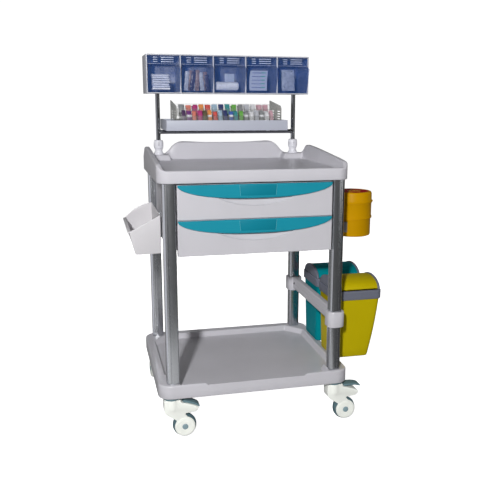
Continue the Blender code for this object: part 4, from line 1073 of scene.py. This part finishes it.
def tilt_bins():
    """Clear tip-out bins: recessed label face, ledge, flared front and quarter-round back."""
    thin, reach = 0.002, 0.1178
    front = [(-0.004, 0.1180), (-0.004, 0.0894), (-0.033, 0.0770), (-0.0045, -0.0072)]
    front_inside = [(-0.002, 0.1400), (-0.002, 0.0882), (-0.030, 0.0760), (-0.002, -0.0052)]
    outer = front + circle(reach, 28, (0, 0), math.radians(-3.6), math.radians(73.6))
    inner = (front_inside + circle(reach - thin, 28, (0, 0), math.radians(-2.6), math.radians(72.0))
             + [(0.040, 0.1400)])
    ahead = front_inside + [(-0.002, -0.0300), (-0.060, -0.0300), (-0.060, 0.1400)]
    window = front + [(u + 0.00002, v) for u, v in front_inside[:0:-1]] + [(-0.00198, 0.1180)]
    for i in range(5):
        node = body = f"tilt_bin_{i + 1}"
        low, high = box(node)
        pivot = Vector(((low.x + high.x) / 2, high.y - reach, high.z - front[0][1]))
        half = (high.x - low.x) / 2
        tub = cut(eased(prism(outer, -half, half, "x"), 0.0014, 3, 40),
                  prism(inner, -half + thin, half - thin, "x"), prism(ahead, -half, half, "x"))
        piece(f"bin_tub_{i + 1}", shifted(tub, pivot), BIN_CLEAR[i], body, [node], sharp=40)
        pane = eased(prism(window, -half, half, "x"), 0.0007, 2, 40)
        piece(f"bin_pane_{i + 1}", shifted(pane, pivot), BIN_FRONT, body, sharp=40)
        piece(f"bin_label_ribs_{i + 1}", ledge_highlight_and_ribs(pivot, half), BIN_LABEL, body)
        CONTENTS[i](body, pivot)


def ledge_highlight_and_ribs(pivot, half):
    """A pale bar along the ledge under a bin's label field, a painted highlight, and three rows of ribs on
    the field.
    """
    # the first bar is a painted highlight: a pale strip standing for the light caught along the ledge
    ribs = [eased(block(pivot.x - half + 0.002, pivot.x + half - 0.002, pivot.y - 0.0062,
                        pivot.y - 0.0042, pivot.z + 0.0886, pivot.z + 0.0896), 0.0004, 2)]
    for z in (0.1115, 0.1040, 0.0965):
        for x0, x1 in ((-0.036, -0.021), (-0.009, 0.036)):
            ribs.append(eased(block(pivot.x + x0, pivot.x + x1, pivot.y - 0.0048, pivot.y - 0.0038,
                                    pivot.z + z - 0.0013, pivot.z + z + 0.0013), 0.0003, 2))
    return joined(*ribs)


def crumpled(mesh, amount, scale, seed):
    """Pushes the points about with a seeded wave field."""
    for vert in mesh.vertices:
        spot = vert.co * scale + Vector((seed, seed * 2, seed * 3))
        vert.co += Vector((math.sin(spot.y * 1.7 + spot.z), math.sin(spot.z * 1.3 + spot.x * 2),
                           math.sin(spot.x * 1.9 + spot.y))) * amount
    return mesh


def pad_mesh(wide, tall, thick, steps=16, bulge=0.3):
    """A soft-edged pad standing in the x-z plane."""
    rings = []
    for i in range(steps + 1):
        t = i / steps
        edge = math.sin(math.pi * t) ** 0.35 if 0 < t < 1 else 0.25
        depth = thick / 2 * (1 - bulge + bulge * edge) * (0.35 + 0.65 * edge)
        half = wide / 2 * (0.96 + 0.04 * edge)
        rings.append([(u, v, tall * t) for u, v in rounded(half, depth, depth * 0.8, 4)])
    return loft(rings)


def lay(name, mesh, finish, body, place, sharp=60):
    """Puts something in a tilt bin, to tip with it."""
    piece(name, mesh, finish, body, place=place, sharp=sharp)


def placed(pivot, *offset):
    return Matrix.Translation(pivot + Vector(offset))


def packs(body, pivot):
    """A stack of folded white dressings."""
    meshes = []
    for k in range(7):
        layer = pad_mesh(0.064 - 0.002 * (k % 3), 0.036, 0.0088, 8)
        layer.transform(Matrix.Rotation(math.radians(90), 4, "X"))
        meshes.append(shifted(layer, (0.0015 * math.sin(k * 2.1), 0.034 + 0.001 * k, 0.0075 + 0.0078 * k)))
    stack = crumpled(joined(*meshes), 0.0007, 260, 1.0)
    lay("dressing_stack", stack, PAPER, body, placed(pivot, -0.010, -0.004, -0.004))


def bags(body, pivot):
    """Clear bags of small brown and dark items with crimped tops."""
    brown = surface("bag_brown", (0.26, 0.17, 0.13), 0.3, shade=0.5, patch=120, grain=300, depth=0.0004)
    dark = surface("bag_dark", (0.045, 0.030, 0.05), 0.25, shade=0.5, patch=120)
    clear = surface("bag_clear", (0.55, 0.58, 0.68), 0.15, shade=0.2, patch=90, depth=0.0005, alpha=0.8)
    chooser = random.Random(5)
    for k in range(9):
        finish = (clear, brown, dark)[k % 3]
        tall = chooser.uniform(0.056, 0.074)
        mesh = crumpled(pad_mesh(0.015, tall, 0.010, 14), 0.0009, 320, k * 1.3)
        turn = Matrix.Rotation(math.radians(chooser.uniform(-11, 11)), 4, "Y")
        place = placed(pivot, -0.040 + 0.0100 * k, 0.004 + 0.006 * (k % 2), -0.002) @ turn
        lay(f"bag_item_{k + 1}", mesh, finish, body, place)


def printed_dots(radius, *spots):
    """Thin discs on an upright face, at (x, z)."""
    return joined(*[rod(radius, -0.0008, 0, 0.0003, 16, "y", (x, 0, z)) for x, z in spots])


def roll(body, pivot):
    """A bandage roll lying at the bottom with a printed card behind it."""
    profile = [(0, -0.041), (0.0125, -0.041), (0.0145, -0.0395), (0.0152, -0.034), (0.0148, -0.010),
               (0.0154, 0.008), (0.0150, 0.032), (0.0144, 0.0395), (0.0125, 0.041), (0, 0.041)]
    mesh = crumpled(turned(profile, 48, "x"), 0.0004, 400, 2.0)
    lay("bandage_roll", mesh, PAPER, body, placed(pivot, -0.006, 0.014, 0.0150))
    card = eased(block(-0.016, 0.020, 0, 0.0012, 0, 0.030), 0.0005, 2)
    lay("bin_card", card, BIN_LABEL, body, placed(pivot, 0.004, 0.028, 0.030), CREASE)
    green = surface("print_green", (0.03, 0.42, 0.25), 0.5)
    dots = printed_dots(0.0011, (-0.002, 0.026), (-0.002, 0.019), (0.008, 0.019), (0.018, 0.013),
                        (0.011, 0.008))
    lay("bin_card_dots", dots, green, body, placed(pivot, 0.004, 0.0278, 0.030), CREASE)


def pad(body, pivot):
    """A pale pad with ruled lines and green marks."""
    sheet = pad_mesh(0.068, 0.074, 0.006, 20)
    for vert in sheet.vertices:
        vert.co.x += 0.008 * (vert.co.z / 0.074) ** 2
    lean = Matrix.Rotation(math.radians(-14), 4, "X")
    place = placed(pivot, -0.009, 0.008, 0.000) @ lean
    lay("ruled_pad", sheet, BIN_LABEL, body, place)
    line = surface("print_blue", (0.05, 0.09, 0.30), 0.5)
    green = surface("print_mint", (0.02, 0.36, 0.28), 0.5)
    lines, marks = [], []
    for k in range(5):
        z = 0.010 + 0.0135 * k
        shift = 0.008 * (z / 0.074) ** 2
        lines.append(eased(block(-0.025 + shift, 0.014 + shift, -0.0036, -0.0026, z, z + 0.0018), 0.0003, 1))
        marks.append(eased(block(0.010 + shift, 0.025 + shift, -0.0038, -0.0026, z, z + 0.0028), 0.0003, 1))
    lay("pad_lines", joined(*lines), line, body, place, CREASE)
    lay("pad_marks", joined(*marks), green, body, place, CREASE)


def sachet(body, pivot):
    """A grey sachet with a few printed spots."""
    grey = surface("sachet_grey", (0.34, 0.38, 0.50), 0.4, shade=0.25, patch=90, depth=0.0004)
    mesh = crumpled(pad_mesh(0.050, 0.076, 0.012, 18), 0.0008, 240, 3.0)
    lean = Matrix.Rotation(math.radians(-8), 4, "X")
    place = placed(pivot, -0.012, 0.010, 0.000) @ lean
    lay("grey_sachet", mesh, grey, body, place)
    dark = surface("print_dark", (0.01, 0.05, 0.04), 0.5)
    dots = printed_dots(0.0016, (-0.016, 0.066), (-0.012, 0.063), (-0.018, 0.016), (-0.015, 0.012),
                        (0.014, 0.070))
    lay("sachet_dots", dots, dark, body, place @ Matrix.Translation((0, -0.0066, 0)), CREASE)


CONTENTS = [packs, bags, roll, pad, sachet]


# ---------------------------------------------------------------- left-hand side bin
def side_bin():
    """White bin with a sloping mouth: straight front end, bowed rear end, out-turned lip."""
    low, high = box("side_bin")
    x, wall = high.x, 0.0026
    deep = high.x - low.x
    lip_z = low.z + 0.075
    section = [(x, low.z + 0.002), (x, high.z), (x - deep + 0.007, lip_z + 0.002),
               (x - deep + 0.0065, lip_z - 0.006), (x - deep + 0.0075, lip_z - 0.012),
               (x - deep + 0.013, lip_z - 0.040), (x - deep + 0.020, low.z + 0.008),
               (x - deep + 0.0225, low.z + 0.0025), (x - deep + 0.027, low.z)]
    rear_top = [(x - (deep - 0.007) * (1 - k / 12), lip_z + 0.002 + (high.z - lip_z - 0.002) * k / 12
                 + 0.0125 * math.sin(math.pi * k / 12) ** 0.9) for k in range(13)]
    rear = [(x, low.z + 0.002)] + [(x, high.z)] + list(reversed(rear_top))[1:] + section[3:]
    inner = [(x - wall, low.z + wall + 0.002), (x - wall, high.z + 0.06), (x - 0.2, high.z + 0.06),
             (x - deep + 0.007 + wall, lip_z + 0.004), (x - deep + 0.0075 + wall, lip_z - 0.012),
             (x - deep + 0.013 + wall, lip_z - 0.040), (x - deep + 0.020 + wall, low.z + 0.010),
             (x - deep + 0.027 + wall, low.z + wall)]
    body = eased(prism(section, low.y, high.y, "y"), 0.0022, 3, 30)
    hollow = eased(prism(inner, low.y + wall, high.y - wall, "y"), 0.0016, 2, 30)
    shell = cut(body, hollow)
    rear_wall = eased(prism(rear, high.y - wall, high.y - 0.0001, "y"), 0.0008, 2, 40)
    lip = [(x - deep + 0.0075, lip_z + 0.0030), (x - deep + 0.0020, lip_z + 0.0010),
           (x - deep, lip_z - 0.0020), (x - deep + 0.0008, lip_z - 0.0045),
           (x - deep + 0.0030, lip_z - 0.0030), (x - deep + 0.0085, lip_z - 0.0010)]
    rail = eased(prism(lip, low.y + 0.001, high.y - 0.001, "y"), 0.0006, 2, 40)
    piece("side_bin_shell", union(shell, rear_wall, rail), BIN_WHITE, "cart", ["side_bin"], sharp=35)
    keep("side_bin_bracket", STEEL)


# ---------------------------------------------------------------- right-hand rail and waste bins
def side_rail():
    """Rail with a groove along its inner face and a screw at each end."""
    low, high = box("side_rail")
    centre = (low + high) / 2
    half_x, _, half_z = halves(low, high)
    section = [(centre.x + u, centre.z + v) for u, v in rounded(half_x, half_z, 0.005, 6)]
    bar = prism(section, low.y, high.y, "y")
    groove = block(low.x - 0.01, low.x + 0.0012, low.y + 0.030, high.y - 0.030, centre.z - 0.0016,
                   centre.z + 0.0016)
    piece("accessory_rail", cut(bar, groove), ABS, "cart", ["side_rail"], sharp=40)
    heads = []
    for y in (low.y + 0.014, high.y - 0.014):
        head = [(0, low.x + 0.001), (0.0046, low.x + 0.001), (0.0046, low.x - 0.0012),
                (0.0036, low.x - 0.0024), (0.0020, low.x - 0.0024), (0.0020, low.x - 0.0008),
                (0, low.x - 0.0008)]
        heads.append(turned(head, 32, "x", (0, y, centre.z)))
    piece("rail_screws", joined(*heads), SCREW, "cart")


def rail_collars():
    """Two split collars, each bored to its post."""
    for name in ("front", "rear"):
        node = "rail_clamp_" + name
        low, high = box(node)
        centre = (low + high) / 2
        half_x, half_y, _ = halves(low, high)
        hole_x, hole_y = (half + TOUCH for half in halves(*box(f"post_{name}_right"))[:2])
        easing = ((0.0030, 0), (0.0009, 0.0009), (0, 0.0030))
        steps = [(inset, low.z + up) for inset, up in easing] + [(0, centre.z)]
        steps += [(inset, high.z - down) for inset, down in reversed(easing)]
        outer = loft([[(u, v, z) for u, v in rounded(half_x - inset, half_y - inset, 0.021, 10)]
                      for inset, z in steps])
        inner = prism(rounded(hole_x, hole_y, 0.011, 8), low.z - 0.01, high.z + 0.01)
        split = block(hole_x - 0.005, half_x + 0.01, -0.0008, 0.0008, low.z - 0.01, high.z + 0.01)
        collar = cut(outer, inner, split)
        piece("rail_collar_" + name, shifted(collar, (centre.x, centre.y, 0)), ABS, "cart", [node],
              sharp=38)


def bin_ring(x0, x1, centre_y, half_y, radius, z, steps=8):
    centre_x, half_x = (x0 + x1) / 2, (x1 - x0) / 2
    return [(centre_x + u, centre_y + v, z) for u, v in rounded(half_x, half_y, radius, steps)]


def barrel(half_y, rise, count):
    """Points of the lid's oval arc from front to back, as (y, z) over its base."""
    angles = [math.pi * i / count for i in range(count + 1)]
    return [(-half_y * math.cos(angle), rise * math.sin(angle)) for angle in angles]


def waste_tub(name, finish):
    """Tapered bin with rounded corners."""
    body_low, body_high = box("waste_body_" + name)
    centre_y = (body_low.y + body_high.y) / 2
    half_y = (body_high.y - body_low.y) / 2
    x0, x1 = body_low.x, body_high.x
    foot_x0, foot_x1 = x0 + 0.0027, x1 - 0.0307
    foot_y = half_y - 0.0137
    wall = 0.0025
    waist = box("waste_rim_" + name)[0].z - 0.004
    rings = [bin_ring(foot_x0 + 0.006, foot_x1 - 0.006, centre_y, foot_y - 0.006, 0.012, body_low.z),
             bin_ring(foot_x0 + 0.002, foot_x1 - 0.002, centre_y, foot_y - 0.002, 0.015, body_low.z + 0.0016),
             bin_ring(foot_x0, foot_x1, centre_y, foot_y, 0.017, body_low.z + 0.006)]
    for k in range(1, 9):
        t = k / 8
        bulge = 0.0035 * math.sin(math.pi * t)
        rings.append(bin_ring(foot_x0 + (x0 - foot_x0) * t, foot_x1 + (x1 - foot_x1) * t + bulge, centre_y,
                              foot_y + (half_y - foot_y) * t, 0.017, body_low.z + 0.006
                              + (waist - body_low.z - 0.006) * t))
    rings.append(bin_ring(x0, x1, centre_y, half_y, 0.017, body_high.z))
    rings.append(bin_ring(x0 + wall, x1 - wall, centre_y, half_y - wall, 0.0145, body_high.z))
    rings.append(bin_ring(x0 + wall, x1 - wall, centre_y, half_y - wall, 0.0145, waist))
    rings.append(bin_ring(foot_x0 + wall, foot_x1 - wall, centre_y, foot_y - wall, 0.0145, body_low.z + wall))
    piece("waste_tub_" + name, loft(rings), finish, "cart", ["waste_body_" + name], sharp=50)


def waste_collar(name):
    """Clip-on grey rim with an arched cheek at each end; gives the place and the gap for the lid."""
    body_low, body_high = box("waste_body_" + name)
    rim_low, rim_high = box("waste_rim_" + name)
    lid_low, lid_high = box("waste_lid_" + name)
    centre_y = (body_low.y + body_high.y) / 2
    middle_x, half_x = (rim_low.x + rim_high.x) / 2, (rim_high.x - rim_low.x) / 2
    rim_half_y = (rim_high.y - rim_low.y) / 2
    band_top = lid_low.z - 0.002
    thick, cheek_thick = 0.005, 0.008
    seat_x, seat_y = half_x - thick, rim_half_y - thick
    rim = eased(prism(rounded(half_x, rim_half_y, 0.020, 10), rim_low.z, band_top), 0.0022, 3, 60)
    groove = cut(prism(rounded(half_x + 0.01, rim_half_y + 0.01, 0.02, 10), band_top - 0.0092,
                       band_top - 0.0080),
                 prism(rounded(half_x - 0.0008, rim_half_y - 0.0008, 0.019, 10), band_top - 0.02, band_top))
    seat = prism(rounded(seat_x, seat_y, 0.0165, 8), rim_low.z - 0.01, body_high.z + TOUCH)
    mouth = prism(rounded(seat_x - 0.0065, seat_y - 0.004, 0.005, 6), rim_low.z - 0.02, band_top + 0.02)
    lid_half = (lid_high.y - lid_low.y) / 2
    foot = band_top - 0.00175
    arch = [(y, z + foot) for y, z in barrel(lid_half * 1.04, rim_high.z - foot, 40)]
    inner_face = half_x - 0.004 - cheek_thick
    outer_face = inner_face + cheek_thick
    cheeks = [eased(prism(arch, *ends, "x"), 0.0022, 3, 50)
              for ends in ((-outer_face, -inner_face), (inner_face, outer_face))]
    place = (middle_x, centre_y, 0)
    collar = shifted(union(cut(rim, seat, mouth, groove), *cheeks), place)
    piece("waste_collar_" + name, collar, RIM_GREY, "cart", ["waste_rim_" + name], sharp=38)
    return place, inner_face - 0.0006


def swing_lid(name, finish, place, reach):
    """Barrel-shaped lid with webbed ends, on two pins between the cheeks."""
    lid_low, lid_high = box("waste_lid_" + name)
    lid_half = (lid_high.y - lid_low.y) / 2
    rise, skin = lid_high.z - lid_low.z, 0.0025
    over = [(y, z + lid_low.z) for y, z in barrel(lid_half, rise, 48)]
    under = [(y, z + lid_low.z - TOUCH) for y, z in barrel(lid_half - skin, rise - skin, 48)]
    shell = eased(prism(over + under[::-1], -reach, reach, "x"), 0.0009, 2, 50)
    web = [(y * 0.97, lid_low.z + (z - lid_low.z) * 0.94 + 0.001) for y, z in over]
    webs = [prism(web, *ends, "x")
            for ends in ((-reach + 0.0004, -reach + 0.003), (reach - 0.003, reach - 0.0004))]
    pins = [rod(0.003, *ends, 0, 24, "x", (0, 0, lid_low.z + 0.014))
            for ends in ((-reach - 0.005, -reach + 0.002), (reach - 0.002, reach + 0.005))]
    piece("swing_lid_" + name, shifted(union(shell, *webs, *pins), place), finish, "waste_lid_" + name,
          ["waste_lid_" + name], sharp=40)


def waste_bin(name, finish):
    waste_tub(name, finish)
    place, reach = waste_collar(name)
    swing_lid(name, finish, place, reach)


# ---------------------------------------------------------------- sharps container
def sharps_tub():
    """Stepped yellow tub with an ear on its band, in its cradle."""
    low, high = box("sharps_container")
    centre = (low + high) / 2
    radius = (high.y - low.y) / 2
    slim, wall = radius - 0.0025, 0.0025
    step = low.z + 0.061
    tub = [(0, low.z + 0.001), (slim - 0.010, low.z + 0.001), (slim - 0.008, low.z), (slim - 0.004, low.z),
           (slim - 0.0012, low.z + 0.0012), (slim, low.z + 0.0042), (slim, step - 0.0016),
           (slim + 0.0006, step - 0.0006), (radius, step + 0.0002), (radius, step + 0.0026),
           (radius - 0.0005, step + 0.0032), (radius - 0.0005, high.z - 0.0030), (radius, high.z - 0.0022),
           (radius, high.z), (radius - wall, high.z), (radius - wall, step + wall), (slim - wall, step),
           (slim - wall - 0.003, low.z + wall + 0.001), (0, low.z + wall + 0.001)]
    body = turned(tub, 96, "z", (centre.x, centre.y, 0))
    ear = eased(block(radius - 0.004, radius + 0.0042, -0.009, 0.009, step - 0.004, step + 0.006), 0.0018, 3)
    ear = shifted(ear, (centre.x, centre.y, 0))
    piece("sharps_tub", union(body, ear), SHARPS_YELLOW, "cart", ["sharps_container"],
          sharp=35)
    keep("sharps_holder", STEEL)


def sharps_lid():
    """Domed hinged cap with a red label disc and a triangle on it."""
    low, high = box("sharps_container")
    lid_low, lid_high = box("sharps_lid")
    centre = (low + high) / 2
    radius, wall = (high.y - low.y) / 2, 0.0025
    split, top = lid_low.z, lid_high.z
    face = top - 0.0020
    cap = [(0, face), (radius - 0.0120, face), (radius - 0.0110, face + 0.0006),
           (radius - 0.0100, top - 0.0002), (radius - 0.0088, top), (radius - 0.0066, top - 0.0002),
           (radius - 0.0038, top - 0.0014), (radius - 0.0016, top - 0.0040), (radius - 0.0004, top - 0.0085),
           (radius, split + 0.0090), (radius + 0.0003, split + 0.0078), (radius + 0.0014, split + 0.0068),
           (radius + 0.0015, split + 0.0008), (radius + 0.0010, split), (radius - wall, split),
           (radius - 0.006, top - 0.010), (0, top - 0.010)]
    knuckle = eased(block(radius - 0.001, lid_high.x - centre.x, -0.012, 0.012, split, split + 0.007),
                    0.0014, 3)
    lid = union(turned(cap, 96), knuckle)
    piece("sharps_cap", shifted(lid, (centre.x, centre.y, 0)), SHARPS_YELLOW, "sharps_lid",
          ["sharps_lid"], sharp=35)
    disc = rod(radius - 0.0114, face + 0.0001, face + 0.0010, 0.0004, 96)
    piece("sharps_label", shifted(disc, (centre.x, centre.y, 0)), LABEL_RED, "sharps_lid")
    mark = softened([(-0.026, -0.016), (0.026, -0.016), (0.0, 0.026)], 0.006, 5)
    hole = softened([(-0.018, -0.0115), (0.018, -0.0115), (0.0, 0.0170)], 0.004, 5)
    sign = cut(prism(mark, face + 0.0006, face + 0.0015), prism(hole, face, face + 0.003))
    piece("sharps_label_mark", shifted(sign, (centre.x, centre.y, 0)), LABEL_YELLOW, "sharps_lid")


# ---------------------------------------------------------------- put together
def runners():
    for level in ("upper", "lower"):
        for side in ("left", "right"):
            keep(f"runner_{level}_{side}", STEEL)


worktop()
base_tray()
posts()
cabinet()
drawer("upper")
drawer("lower")
runners()
casters()
rack_frame()
rack_tray()
rack_body()
rack_strips()
bin_frame()
tilt_bins()
side_bin()
side_rail()
rail_collars()
waste_bin("yellow", WASTE_YELLOW)
waste_bin("teal", WASTE_TEAL)
sharps_tub()
sharps_lid()


# ---------------------------------------------------------------- floor, light and camera
def floor():
    """A plain pale floor."""
    made = bpy.data.objects.new("studio_floor", block(-7, 7, -7, 7, -0.02, 0))
    bpy.context.scene.collection.objects.link(made)
    finish = surface("floor_white", (0.90, 0.90, 0.90), 0.7, shade=0.01, patch=1.0)
    shader = finish.node_tree.nodes["Principled BSDF"]
    shader.inputs["Emission Color"].default_value = (1, 1, 1, 1)
    shader.inputs["Emission Strength"].default_value = 0.95
    made.data.materials.append(finish)
    made.visible_glossy = False
    made.visible_diffuse = False


def soft_light(name, spot, size, power, target=(0, 0, 0.65), colour=(1, 1, 1), lit=True, glossy=True):
    """An area light; one that isn't lit shows in reflections only, like a white card."""
    lamp = bpy.data.lights.new(name, "AREA")
    lamp.shape = "RECTANGLE"
    lamp.size, lamp.size_y = size
    lamp.energy = power
    lamp.color = colour
    made = bpy.data.objects.new(name, lamp)
    made.location = spot
    made.rotation_mode = "QUATERNION"
    made.rotation_quaternion = (Vector(target) - Vector(spot)).to_track_quat("-Z", "Y")
    made.visible_diffuse = lit
    made.visible_camera = False
    made.visible_glossy = glossy
    bpy.context.scene.collection.objects.link(made)


def surround():
    """White surround for the eye, dimmer in front of the cart for its reflections."""
    world = bpy.data.worlds.new("studio")
    bpy.context.scene.world = world
    world.use_nodes = True
    tree = world.node_tree
    tree.nodes.clear()
    place = tree.nodes.new("ShaderNodeTexCoord")
    across = tree.nodes.new("ShaderNodeVectorMath")
    across.operation = "DOT_PRODUCT"
    across.inputs[1].default_value = (-0.70, 0.25, -0.50)
    tree.links.new(place.outputs["Generated"], across.inputs[0])
    level = span(tree, across.outputs["Value"], 0.03, 0.34, -0.75, 0.75)
    soft = tree.nodes.new("ShaderNodeBackground")
    tree.links.new(level, soft.inputs["Strength"])
    seen = tree.nodes.new("ShaderNodeBackground")
    seen.inputs["Strength"].default_value = 1.05
    seen.inputs["Color"].default_value = (1, 1, 1, 1)
    path = tree.nodes.new("ShaderNodeLightPath")
    both = tree.nodes.new("ShaderNodeMixShader")
    out = tree.nodes.new("ShaderNodeOutputWorld")
    tree.links.new(path.outputs["Is Camera Ray"], both.inputs["Fac"])
    tree.links.new(soft.outputs["Background"], both.inputs[1])
    tree.links.new(seen.outputs["Background"], both.inputs[2])
    tree.links.new(both.outputs["Shader"], out.inputs["Surface"])


def lights():
    """A key light from the front left, soft lights round it, and cards for the metal to mirror."""
    soft_light("key", (-1.19, -3.16, 1.95), (0.16, 0.16), 108)
    soft_light("fill", (2.2, -2.6, 1.1), (0.9, 1.6), 5)
    soft_light("overhead", (0.2, 0.1, 3.1), (2.2, 2.2), 2.5)
    soft_light("low", (-0.6, -2.2, 0.14), (0.6, 0.2), 2.5, (0, -0.3, 0.08), glossy=False)
    soft_light("rear", (0.4, 3.2, 0.85), (2.0, 1.2), 26, glossy=False)
    soft_light("right", (3.3, 0.5, 0.8), (1.6, 1.2), 18, glossy=False)
    soft_light("strip_card", (-1.42, -2.62, 0.8), (0.25, 3.4), 1.5, (-0.3, -0.26, 0.8), lit=False)
    soft_light("floor_card", (-0.35, -0.78, 0.03), (1.4, 0.8), 1.8, (-0.35, -0.78, 1.0), lit=False)
    soft_light("left_card", (-3.0, 0.4, 0.8), (4.0, 3.4), 26, (0, 0.4, 0.8), (0.93, 0.92, 1.0), False)


def camera():
    """The camera stands front left of the cart at chest height, tipped down a little."""
    yaw, pitch, roll = 0.2496, -0.2120, 0.0052
    ahead = Vector((math.sin(yaw) * math.cos(pitch), math.cos(yaw) * math.cos(pitch), math.sin(pitch)))
    right = Vector((math.cos(yaw), -math.sin(yaw), 0))
    up = right.cross(ahead)
    turned_right = math.cos(roll) * right + math.sin(roll) * up
    turned_up = -math.sin(roll) * right + math.cos(roll) * up
    data = bpy.data.cameras.new("camera")
    data.lens = 49.85
    data.shift_x, data.shift_y = -0.0292, -0.0022
    made = bpy.data.objects.new("camera", data)
    bpy.context.scene.collection.objects.link(made)
    basis = Matrix((turned_right, turned_up, -ahead)).transposed().to_4x4()
    basis.translation = CENTRE + Vector((-0.5122, -2.3714, 1.0957))
    made.matrix_world = basis
    bpy.context.scene.camera = made


floor()
surround()
lights()
camera()
bpy.context.scene.view_settings.view_transform = "Standard"
